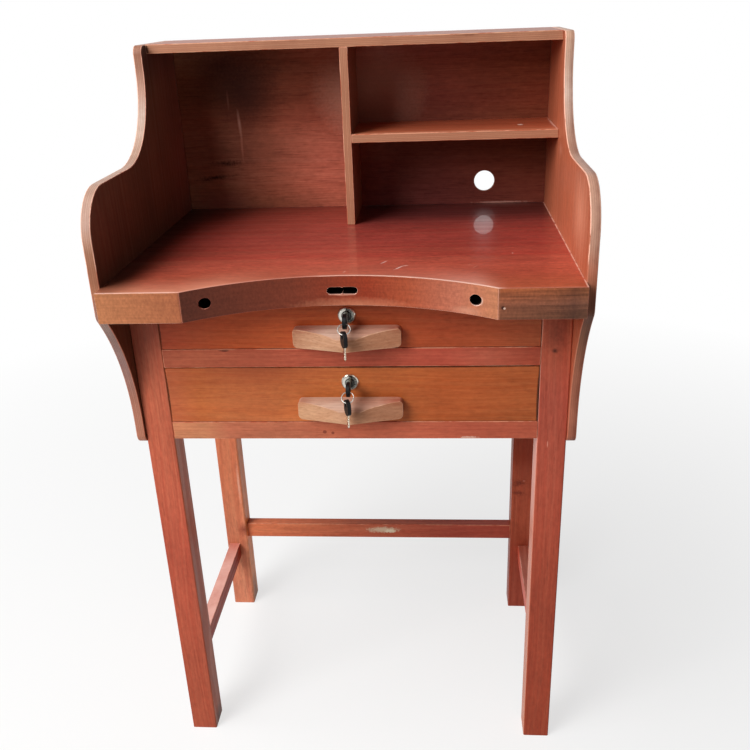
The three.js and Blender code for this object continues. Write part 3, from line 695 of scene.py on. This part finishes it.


# back panel: painted shade and light in the two bays, on the inside only

bayShading = {
    "inside": 0.22, "divider": -0.0115,
    "along": [
        (-0.28, 1.15, 1.65, 1.6), (-0.19, 0.78, 0.82, 0.8), (-0.15, 0.82, 0.8, 0.76),
        (-0.06, 1.16, 1.06, 1.08), (-0.02, 1.16, 1.06, 1.08), (0.0, 0.98, 1.0, 1.15),
        (0.03, 1.05, 1.4, 1.9), (0.07, 0.78, 0.85, 1.05), (0.12, 0.68, 0.68, 0.84),
        (0.24, 0.74, 0.76, 0.74), (0.28, 0.74, 0.72, 0.68),
    ],
    "leftHeights": [
        (0.79, 1.25, 1.18, 1.18), (0.822, 1.28, 1.2, 1.24), (0.854, 1.13, 1.08, 1.14),
        (0.886, 1.08, 1.04, 1.08), (0.918, 0.89, 0.74, 0.72), (0.95, 0.66, 0.55, 0.48),
        (0.981, 0.8, 0.74, 0.64), (1.013, 1.25, 1.5, 1.4),
    ],
    "rightHeights": [
        (0.79, 0.75, 0.54, 0.62), (0.845, 0.66, 0.53, 0.5), (0.87, 0.78, 0.76, 0.67),
        (0.9, 0.85, 0.7, 0.62), (0.94, 0.95, 0.66, 0.6), (0.99, 1.05, 0.8, 0.65),
        (1.013, 1.2, 1.05, 1.0),
    ],
}


def bayShade(tree, coords, axes, colour):
    look = bayShading
    inside = before(tree, axes[1], look["inside"], 0.001)
    right = past(tree, axes[0], look["divider"], 0.001)
    # painted shade and light by height in each bay and along the panel
    left = toneRamp(tree, axes[2], look["leftHeights"])
    heights = mixTone(tree, right, left, toneRamp(tree, axes[2], look["rightHeights"]))
    tint = tinted(tree, toneRamp(tree, axes[0], look["along"]), heights)
    return tinted(tree, colour, tint, inside)


# faces with painted shade, painted light or a darker, greyer top of their own: face, then axis and place
# from which it shows

faceTints = {
    # painted shade on the divider's right face
    "divider": {"face": "x", "axis": "x", "from": -0.0062, "to": -0.0056, "tint": (0.62, 1.05, 1.3)},
    "top_board": {"face": "z", "axis": "z", "from": 1.0372, "to": 1.0378, "tint": (0.6, 0.68, 0.76)},
    # painted shade on the front left leg's inner face, painted light on the back left leg's
    "front_leg_left": {"face": "x", "axis": "x", "from": -0.25, "to": -0.2494, "tint": (1.0, 1.17, 1.0)},
    "back_leg_left": {"face": "x", "axis": "x", "from": -0.25, "to": -0.2494, "tint": (1.6, 1.6, 1.1)},
    # painted reflection on the front right leg's inner face, painted highlight on the shelf's top near its
    # front
    "front_leg_right": {
        "face": "x", "axis": "x", "from": 0.2525, "to": 0.2515, "highlight": (228, 162, 142), "share": 0.8},
    "right_shelf": {
        "face": "z", "axis": "y", "from": 0.115, "to": 0.092, "highlight": (206, 136, 102), "share": 0.6},
}


def faceTint(name):
    look = faceTints[name]

    def stained(tree, coords, axes, colour):
        near = remap(tree, axes[look["axis"].upper()], look["from"], look["to"])
        share = times(tree, near, faceMask(tree, look["face"]))
        if "tint" in look:
            return tinted(tree, colour, look["tint"], share)
        return mixTone(tree, times(tree, share, look["share"]), colour, tone(*look["highlight"]))
    return stained


# wear and faults that show on single pieces

pullMiddle = -0.145
frontFace = -0.132
backLegFace = 0.185
stretcherFace = 0.195
backFace = 0.219


def frontMarks(face, depth, rows):
    # rows: x, z, half width, half height, tone, rag, soft, strength, and a turn if there is one
    return [
        mark((x, face, z), (half, depth, high), shade, rag, soft, strength, (0.0, sum(turn), 0.0))
        for x, z, half, high, shade, rag, soft, strength, *turn in rows]


pieceMarks = {
    "worktop": worktopSettings["marks"],
    "back_stretcher": frontMarks(stretcherFace, 0.01, [
        (0.01, 0.167, 0.034, 0.0075, (208, 186, 158), 1.1, 0.5, 0.8),
        (0.026, 0.1645, 0.012, 0.005, (222, 208, 180), 1.0, 0.4, 0.8),
    ]),
    "right_shelf": [
        mark((0.2865, 0.15, 0.909), (0.003, 0.07, 0.004), (230, 186, 168), rag=0.8, soft=0.6, strength=0.9),
        mark((0.239, 0.146, 0.909), (0.005, 0.007, 0.004), (244, 222, 208)),
    ],
    "front_leg_right": frontMarks(frontFace, 0.01, [
        (0.268, 0.685, 0.02, 0.034, (86, 34, 24), 0.9, 1.0, 0.6),
        (0.2665, 0.663, 0.005, 0.004, (54, 22, 16), 0.5, 0.7, 0.8),
        (0.2496, 0.705, 0.001, 0.035, (210, 144, 124), 0.6, 0.6, 0.6),
        (0.2632, 0.5277, 0.001, 0.006, (220, 156, 136), 0.6, 0.6, 0.6),
    ]),
    "front_leg_left": [
        # painted shade at the foot of the inner face
        mark((-0.2494, -0.112, 0.004), (0.006, 0.03, 0.034), (26, 18, 15), rag=0.4, soft=1.0),
    ],
    "back_leg_right": frontMarks(backLegFace, 0.01, [
        (0.2613, 0.2763, 0.016, 0.009, (96, 36, 25), 1.8, 1.0, 0.75, 0.25),
        (0.2602, 0.2552, 0.016, 0.007, (96, 36, 25), 1.8, 1.0, 0.7, -0.2),
        (0.2701, 0.2805, 0.003, 0.0022, (190, 116, 98), 0.8, 0.8, 0.8),
    ]),
    "back_leg_left": [
        # painted shade at the foot of the inner face
        mark((-0.2494, 0.204, 0.008), (0.006, 0.03, 0.06), (60, 34, 26), rag=0.4, soft=1.0),
    ] + frontMarks(backLegFace, 0.012, [
        (-0.2525, 0.172, 0.014, 0.018, (112, 40, 32), 0.8, 1.0, 0.8),
        (-0.2535, 0.27, 0.003, 0.05, (236, 190, 170), 0.7, 1.0, 0.5),
    ]),
    "upper_pull": frontMarks(pullMiddle, 0.022, [
        (-0.058, 0.7015, 0.036, 0.008, (150, 70, 50), 0.4, 1.0, 0.7),
        (0.066, 0.7015, 0.02, 0.008, (160, 84, 60), 0.4, 1.0, 0.6),
    ]),
    "lower_pull": frontMarks(pullMiddle, 0.022, [
        (-0.066, 0.599, 0.02, 0.008, (170, 104, 80), 0.4, 1.0, 0.6),
        (0.062, 0.599, 0.024, 0.008, (160, 78, 52), 0.4, 1.0, 0.7),
    ]),
    "middle_rail": frontMarks(frontFace, 0.01, [
        (-0.165, 0.667, 0.008, 0.0014, (66, 26, 18), 0.8, 0.3, 0.8),
    ]),
    "upper_drawer_front": frontMarks(frontFace, 0.004, [
        # painted shade of the gap along the edge
        (-0.2479, 0.692, 0.0016, 0.034, (40, 16, 12), 0.4, 0.6, 0.8),
    ]),
    "lower_drawer_front": frontMarks(frontFace, 0.01, [
        (-0.12, 0.642, 0.2, 0.035, (142, 62, 36), 0.3, 1.0, 0.7),
    ]) + frontMarks(frontFace, 0.004, [
        # painted shade of the gaps along the edges
        (0.2479, 0.595, 0.0026, 0.05, (24, 9, 7), 0.3, 0.4, 0.8),
        (-0.2479, 0.6, 0.0014, 0.04, (44, 18, 12), 0.4, 0.6, 0.8),
        (0.1, 0.642, 0.26, 0.0016, (50, 20, 14), 0.5, 0.6, 0.8),
    ]),
    "bottom_rail": frontMarks(frontFace, 0.01, [
        (0.157, 0.538, 0.014, 0.0018, (224, 184, 166), 1.8, 0.3, 0.6),
        (-0.038, 0.5465, 0.003, 0.003, (116, 50, 36), 0.6, 0.3, 0.8),
        (-0.027, 0.545, 0.0024, 0.0024, (116, 50, 36), 0.6, 0.3, 0.8),
    ]),
    "back_panel": frontMarks(backFace, 0.006, [
        # painted shade at the top of the left bay, painted light at its lower left and beside the divider
        # up high
        (-0.215, 1.0, 0.11, 0.065, (68, 32, 24), 0.4, 1.0, 0.9),
        (-0.178, 0.943, 0.06, 0.06, (62, 27, 18), 0.4, 1.0, 0.75),
        (-0.19, 0.965, 0.068, 0.06, (40, 10, 4), 0.4, 1.0, 0.65),
        (-0.245, 0.784, 0.06, 0.03, (168, 92, 84), 0.4, 1.0, 0.6),
        (0.014, 0.955, 0.095, 0.08, (190, 142, 122), 0.3, 1.0, 0.8),
        (-0.1945, 0.911, 0.0032, 0.027, (196, 148, 130), 0.5, 0.9, 0.45, 0.06),
        (-0.1938, 0.878, 0.0024, 0.03, (200, 128, 106), 0.6, 0.9, 0.35),
        (-0.2095, 0.948, 0.0022, 0.018, (190, 130, 110), 0.5, 0.9, 0.2),
        (-0.219, 0.851, 0.03, 0.006, (46, 16, 10), 1.7, 1.0, 0.9),
        (-0.243, 0.8285, 0.036, 0.005, (34, 11, 7), 1.5, 1.0, 0.9, 0.1),
        (0.22, 0.7795, 0.05, 0.002, (196, 150, 136), 1.2, 0.6, 0.5),
    ]),
    "top_board": [
        mark((-0.287, 0.092, 1.03), (0.0035, 0.02, 0.012), (44, 20, 13), rag=0.5, soft=0.5),
        mark((0.16, 0.09, 1.0375), (0.018, 0.006, 0.004), (98, 52, 34), rag=0.9, soft=0.8, strength=0.6),
    ],
    "side_panel_right": [
        # painted highlights on the inside face
        mark((0.288, -0.13, 0.84), (0.004, 0.07, 0.065), (226, 150, 120), soft=1.0, strength=0.7),
        mark((0.288, 0.045, 0.95), (0.004, 0.018, 0.045), (220, 156, 132), rag=0.8, soft=1.0, strength=0.4),
        mark((0.288, 0.06, 0.885), (0.004, 0.018, 0.012), (214, 146, 122), rag=0.9, soft=1.0, strength=0.4),
    ],
}

# painted light and shade that drift along single pieces: axis, then place and tint

pullShadeDrift = [(-0.01, 0.95, 0.98, 1.0), (0.01, 0.86, 0.76, 0.72), (0.07, 0.84, 0.7, 0.66)]

lightAndShadeDrifts = {
    "front_leg_left": ("z", [
        (0.06, 0.82, 0.78, 0.66), (0.35, 0.98, 0.9, 0.86), (0.6, 1.13, 1.34, 1.22),
        (0.72, 0.62, 0.66, 0.66)]),
    "front_leg_right": ("z", [
        (0.06, 0.74, 0.58, 0.45), (0.35, 0.79, 0.68, 0.62), (0.6, 0.88, 0.86, 0.92),
        (0.69, 0.9, 1.0, 0.9), (0.725, 0.68, 0.72, 0.62)]),
    "back_leg_left": ("z", [(0.05, 1.25, 2.1, 2.1), (0.3, 1.2, 1.75, 1.5)]),
    "back_leg_right": ("z", [
        (0.04, 0.74, 0.64, 0.62), (0.11, 0.64, 0.5, 0.43), (0.2, 0.92, 0.88, 0.76),
        (0.3, 0.82, 0.72, 0.6), (0.33, 0.62, 0.4, 0.26), (0.5, 0.72, 0.58, 0.48)]),
    "middle_rail": ("x", [
        (-0.25, 0.78, 0.8, 0.8), (-0.2, 0.85, 0.9, 0.86), (-0.115, 0.88, 0.84, 0.84),
        (-0.075, 1.02, 0.95, 0.97), (0.0, 0.92, 0.8, 0.85), (0.12, 0.83, 0.63, 0.7),
        (0.18, 0.83, 0.82, 0.9), (0.235, 0.72, 0.58, 0.58)]),
    "bottom_rail": ("x", [
        (-0.205, 1.05, 1.72, 1.63), (-0.17, 0.95, 1.22, 1.25), (-0.1, 1.0, 1.3, 1.3),
        (0.0, 1.0, 1.08, 1.08), (0.15, 0.86, 0.79, 0.82)]),
    "back_stretcher": ("x", [(-0.2, 1.3, 1.6, 1.42), (0.0, 1.0), (0.15, 0.78, 0.6, 0.7)]),
    "upper_pull": ("x", [(-0.07, 0.82, 0.74, 0.72), (-0.04, 0.95, 0.98, 1.0)] + pullShadeDrift),
    "lower_pull": ("x", [(-0.07, 1.02, 1.04, 1.0), (-0.04, 1.0, 1.02, 1.0)] + pullShadeDrift),
    "upper_drawer_front": ("x", [
        (-0.24, 0.69, 0.58, 0.66), (-0.2, 0.74, 0.69, 0.66), (-0.16, 0.9, 0.83, 0.66),
        (-0.02, 0.9, 0.9, 0.75), (0.12, 0.8, 0.72, 0.68), (0.24, 0.7, 0.82, 0.88)]),
    "lower_drawer_front": ("x", [
        (-0.24, 0.84, 0.78, 0.98), (-0.205, 0.9, 0.88, 0.82), (-0.165, 1.0, 1.02, 1.08),
        (-0.12, 1.03, 1.03, 1.1), (-0.02, 1.1, 1.16, 1.04), (0.12, 0.8, 0.66, 0.56),
        (0.24, 0.76, 0.68, 0.62)]),
}


# softened edges on the frame's pieces, without touching their meshes

softSettings = {"edge": 0.0008, "corner": 35, "smoothBelow": 50, "flatWithin": 0.4, "weld": 1e-6}


def makeSoftShade():
    group = bpy.data.node_groups.new("softShade", "GeometryNodeTree")
    for way in ("INPUT", "OUTPUT"):
        group.interface.new_socket("Geometry", in_out=way, socket_type="NodeSocketGeometry")
    start = group.nodes.new("NodeGroupInput")
    end = group.nodes.new("NodeGroupOutput")
    faces = addNode(group, "GeometryNodeSetShadeSmooth", {"Geometry": start.outputs[0]}, domain="FACE")
    angle = group.nodes.new("GeometryNodeInputMeshEdgeAngle")
    limits = {0: angle.outputs[0], 1: math.radians(softSettings["smoothBelow"])}
    sharp = addNode(group, "FunctionNodeCompare", limits, data_type="FLOAT", operation="GREATER_THAN")
    sockets = {"Geometry": faces.outputs[0], "Selection": sharp.outputs[0], "Shade Smooth": False}
    edges = addNode(group, "GeometryNodeSetShadeSmooth", sockets, domain="EDGE")
    group.links.new(edges.outputs[0], end.inputs[0])
    return group


softShade = makeSoftShade()


def soften(piece, width, segments=2, corner=softSettings["corner"]):
    weld = piece.modifiers.new("weld", "WELD")
    weld.merge_threshold = softSettings["weld"]
    flat = piece.modifiers.new("flat", "DECIMATE")
    flat.decimate_type = "DISSOLVE"
    flat.angle_limit = math.radians(softSettings["flatWithin"])
    bevel = piece.modifiers.new("bevel", "BEVEL")
    bevel.width = width
    bevel.segments = segments
    bevel.limit_method = "ANGLE"
    bevel.angle_limit = math.radians(corner)
    bevel.material = 1
    bevel.miter_outer = "MITER_ARC"
    smooth = piece.modifiers.new("smooth", "NODES")
    smooth.node_group = softShade
    weighted = piece.modifiers.new("weighted", "WEIGHTED_NORMAL")
    weighted.keep_sharp = True


def dress(name, material, rim=None):
    # the second slot is for the bevelled edges
    piece = nodes[name]
    piece.data.materials.clear()
    piece.data.materials.append(material)
    piece.data.materials.append(rim or material)
    return piece


def inDrawers(*names):
    return [drawer + "_" + name for drawer in ("upper", "lower") for name in names]


pieceWoods = {
    "legWood": ["front_leg_left", "front_leg_right", "back_leg_left", "back_leg_right"],
    "railWood": ["middle_rail", "bottom_rail", "back_stretcher"],
    "stretcherWood": ["side_stretcher_left", "side_stretcher_right"],
    "sidePly": ["side_panel_left", "side_panel_right"],
    "shelfPly": ["right_shelf"],
    "topPly": ["top_board"],
    "dividerPly": ["divider"],
    "backPly": ["back_panel", "case_back"],
    "worktopWood": ["worktop"],
    "frontWood": ["lower_drawer_front"],
    "upperFrontWood": ["upper_drawer_front"],
    "pullWood": inDrawers("pull"),
    "rawWood": inDrawers("runner_left", "runner_right", "drawer_side_left", "drawer_side_right"),
    "rawPly": inDrawers("drawer_back", "drawer_bottom"),
}
pieceExtras = {
    "worktop": worktopFinish, "side_panel_left": leftPanelShade, "side_panel_right": rightPanelSoakAndShade,
    "upper_pull": pullTopSheen, "lower_pull": pullTopSheen, "back_panel": bayShade,
    **{name: faceTint(name) for name in faceTints},
    **{name: paleTopAndSideShade(name) for name in stretcherTints},
}

for woodName, names in pieceWoods.items():
    look = woodLooks[woodName]
    common = woodMaterial(woodName, look)
    rim = arrisMaterial(woodName + "Arris", look)
    width = look.get("edge", softSettings["edge"])
    corner = look.get("corner", softSettings["corner"])
    for name in names:
        material = common
        if name in pieceMarks or name in pieceExtras or name in lightAndShadeDrifts:
            own = (pieceMarks.get(name, ()), pieceExtras.get(name), lightAndShadeDrifts.get(name))
            material = woodMaterial(woodName + "." + name, look, *own)
        soften(dress(name, material, rim), width, corner=corner)
print("bench: wood dressed")


# lock metal, key metal and key plastic

metalSettings = {
    "smears": 180.0, "brush": (300.0, 2400.0, 300.0), "tarnishSize": 150.0, "tarnish": 0.45,
    "tarnishShare": 0.5, "dull": 0.55, "bump": 0.05, "bumpDepth": 0.0002, "edge": 0.00025,
}
metalLooks = {
    "lockChrome": {"tone": (214, 210, 200), "rough": 0.16, "smear": 0.14},
    "plainSteel": {"tone": (176, 174, 168), "rough": 0.3, "smear": 0.2},
    "keyNickel": {"tone": (206, 196, 178), "rough": 0.26, "smear": 0.18},
}
metalPieces = {
    "lockChrome": ["lock_case"],
    "plainSteel": ["lock_bolt", "pull_screw_left", "pull_screw_right", "key_ring"],
    "keyNickel": ["key_blade", "spare_blade"],
}

# distance from the lock's axis, how much darker the plating is: darkest in the gap round the plug, darker
# on the plug and at the rim's outer edge
lockDarkening = [
    (0.0, 0.4, 0.42, 0.42), (0.0052, 0.5, 0.52, 0.52), (0.0059, 0.07), (0.0068, 0.07), (0.0076, 0.55),
    (0.0094, 0.8, 0.79, 0.76), (0.01, 1.0, 0.97, 0.92), (0.0116, 0.9, 0.86, 0.8),
]
lockHeights = {"upper": 0.715, "lower": 0.621}
lockFaces = ("lock_collar", "lock_plug")


def metalMaterial(name, look, height=None):
    own = metalSettings
    material, tree, shader = startMaterial(name)
    coords, axes = objectPlace(tree)
    tarnish = scuffed(tree, coords, own["tarnishSize"], own["tarnish"])
    body = tone(*look["tone"])
    dull = tuple(own["dull"] * value for value in body[:3]) + (1.0,)
    colour = mixTone(tree, times(tree, tarnish, own["tarnishShare"]), body, dull)
    if height:
        across = joinAxes(tree, {0: axes[0], 2: less(tree, axes[2], height)})
        colour = tinted(tree, colour, toneRamp(tree, lengthOf(tree, across), lockDarkening))
    tree.links.new(colour, shader["Base Color"])
    least = look["rough"] - look["smear"] / 2
    smeared = spread(tree, noise(tree, coords, own["smears"], 4.0, 0.6), least, least + look["smear"])
    tree.links.new(smeared, shader["Roughness"])
    addBump(tree, shader, stretched(tree, coords, own["brush"]), own)
    shader["Metallic"].default_value = 1.0
    return material


bowSettings = {
    "tone": (9, 9, 10), "scratch": (40, 39, 38), "scratchShare": 0.5, "scuffs": 320.0, "worn": 0.35,
    "rough": 0.5, "wornRough": 0.7, "specular": 0.2, "pebbles": 2600.0, "bump": 0.1, "bumpDepth": 0.0002,
    "edge": 0.0007, "segments": 3,
}


def bowMaterial():
    look = bowSettings
    material, tree, shader = startMaterial("keyBowPlastic")
    coords = objectPlace(tree)[0]
    worn = scuffed(tree, coords, look["scuffs"], look["worn"])
    share = times(tree, worn, look["scratchShare"])
    colour = mixTone(tree, share, tone(*look["tone"]), tone(*look["scratch"]))
    tree.links.new(colour, shader["Base Color"])
    tree.links.new(remap(tree, worn, 0.0, 1.0, look["rough"], look["wornRough"]), shader["Roughness"])
    shader["Specular IOR Level"].default_value = look["specular"]
    addBump(tree, shader, noise(tree, coords, look["pebbles"]), look)
    return material


for metalName, names in metalPieces.items():
    metal = metalMaterial(metalName, metalLooks[metalName])
    for name in inDrawers(*names):
        soften(dress(name, metal), metalSettings["edge"])
for drawer, height in lockHeights.items():
    plated = metalMaterial(drawer + "LockFace", metalLooks["lockChrome"], height)
    for name in lockFaces:
        soften(dress(drawer + "_" + name, plated), metalSettings["edge"])
bowPlastic = bowMaterial()
for name in inDrawers("key_bow", "spare_bow"):
    soften(dress(name, bowPlastic), bowSettings["edge"], bowSettings["segments"])
print("bench: locks and keys dressed")


# floor, light and camera

stageSettings = {
    "floorSize": 16.0, "floorTone": (238, 238, 237), "rough": 0.9, "glow": 0.7, "near": 0.5, "far": 2.0}


def shownRays(tree):
    path = addNode(tree, "ShaderNodeLightPath").outputs
    direct = calc(tree, "MAXIMUM", path["Is Camera Ray"], path["Is Transmission Ray"])
    return calc(tree, "MAXIMUM", direct, path["Is Glossy Ray"])


def makeFloor():
    look = stageSettings
    half = look["floorSize"] / 2
    corners = [(-half, -half, 0), (half, -half, 0), (half, half, 0), (-half, half, 0)]
    mesh = bpy.data.meshes.new("floor")
    mesh.from_pydata(corners, [], [(0, 1, 2, 3)])
    floor = bpy.data.objects.new("floor", mesh)
    scene.collection.objects.link(floor)
    material, tree, shader = startMaterial("paleFloor")
    shader["Base Color"].default_value = tone(*look["floorTone"])
    shader["Roughness"].default_value = look["rough"]
    # plain white away from the bench, so that floor and backdrop meet without a line
    away = lengthOf(tree, objectPlace(tree)[0])
    share = remap(tree, away, look["near"], look["far"], look["glow"], 1.0)
    white = addNode(tree, "ShaderNodeEmission", {"Color": (1, 1, 1, 1), "Strength": 1.0})
    both = addNode(tree, "ShaderNodeMixShader", {
        0: times(tree, share, shownRays(tree)), 1: tree.nodes["Principled BSDF"].outputs[0],
        2: white.outputs[0]})
    tree.links.new(both.outputs[0], tree.nodes["Material Output"].inputs["Surface"])
    mesh.materials.append(material)


lightSettings = {
    "lamps": {
        "keyLight": {"at": (-1.68, -1.93, 2.15), "size": 1.8, "power": 82.0},
        "highLight": {"at": (-1.51, -0.71, 3.15), "size": 2.1, "power": 60.0},
    },
    "aim": (0.0, 0.0, 0.75), "ambient": 0.06,
}


def makeLight(name, look):
    lamp = bpy.data.lights.new(name, "AREA")
    lamp.shape = "DISK"
    lamp.size = look["size"]
    lamp.energy = look["power"]
    light = bpy.data.objects.new(name, lamp)
    light.location = look["at"]
    aim = Vector(lightSettings["aim"]) - light.location
    light.rotation_euler = aim.to_track_quat("-Z", "Y").to_euler()
    scene.collection.objects.link(light)


def makeWorld():
    world = bpy.data.worlds.new("studio")
    world.use_nodes = True
    scene.world = world
    tree = world.node_tree
    back = tree.nodes["Background"].inputs
    back["Color"].default_value = (1, 1, 1, 1)
    strength = remap(tree, shownRays(tree), 0.0, 1.0, lightSettings["ambient"], 1.0)
    tree.links.new(strength, back["Strength"])


cameraSettings = {
    "at": (0.1167, -1.1563, 1.0818), "pitch": 0.4135, "roll": -0.0387, "yaw": 0.0809,
    "focal": 850.5, "frame": 750, "sensor": 36.0, "near": 0.01,
}


def makeCamera():
    look = cameraSettings
    lens = bpy.data.cameras.new("camera")
    lens.sensor_fit = "HORIZONTAL"
    lens.sensor_width = look["sensor"]
    lens.lens = look["focal"] / look["frame"] * look["sensor"]
    lens.clip_start = look["near"]
    camera = bpy.data.objects.new("camera", lens)
    yaw = Matrix.Rotation(look["yaw"], 3, "Z")
    pitch = look["pitch"]
    right = yaw @ Vector((1, 0, 0))
    ahead = yaw @ Vector((0, math.cos(pitch), -math.sin(pitch)))
    up = yaw @ Vector((0, math.sin(pitch), math.cos(pitch)))
    level, tilt = math.cos(look["roll"]), math.sin(look["roll"])
    turned = Matrix((right * level + up * tilt, up * level - right * tilt, -ahead)).transposed()
    camera.matrix_world = Matrix.Translation(look["at"]) @ turned.to_4x4()
    scene.collection.objects.link(camera)
    scene.camera = camera


makeFloor()
for lightName, lightLook in lightSettings["lamps"].items():
    makeLight(lightName, lightLook)
makeWorld()
makeCamera()
print("bench: stage and camera ready")
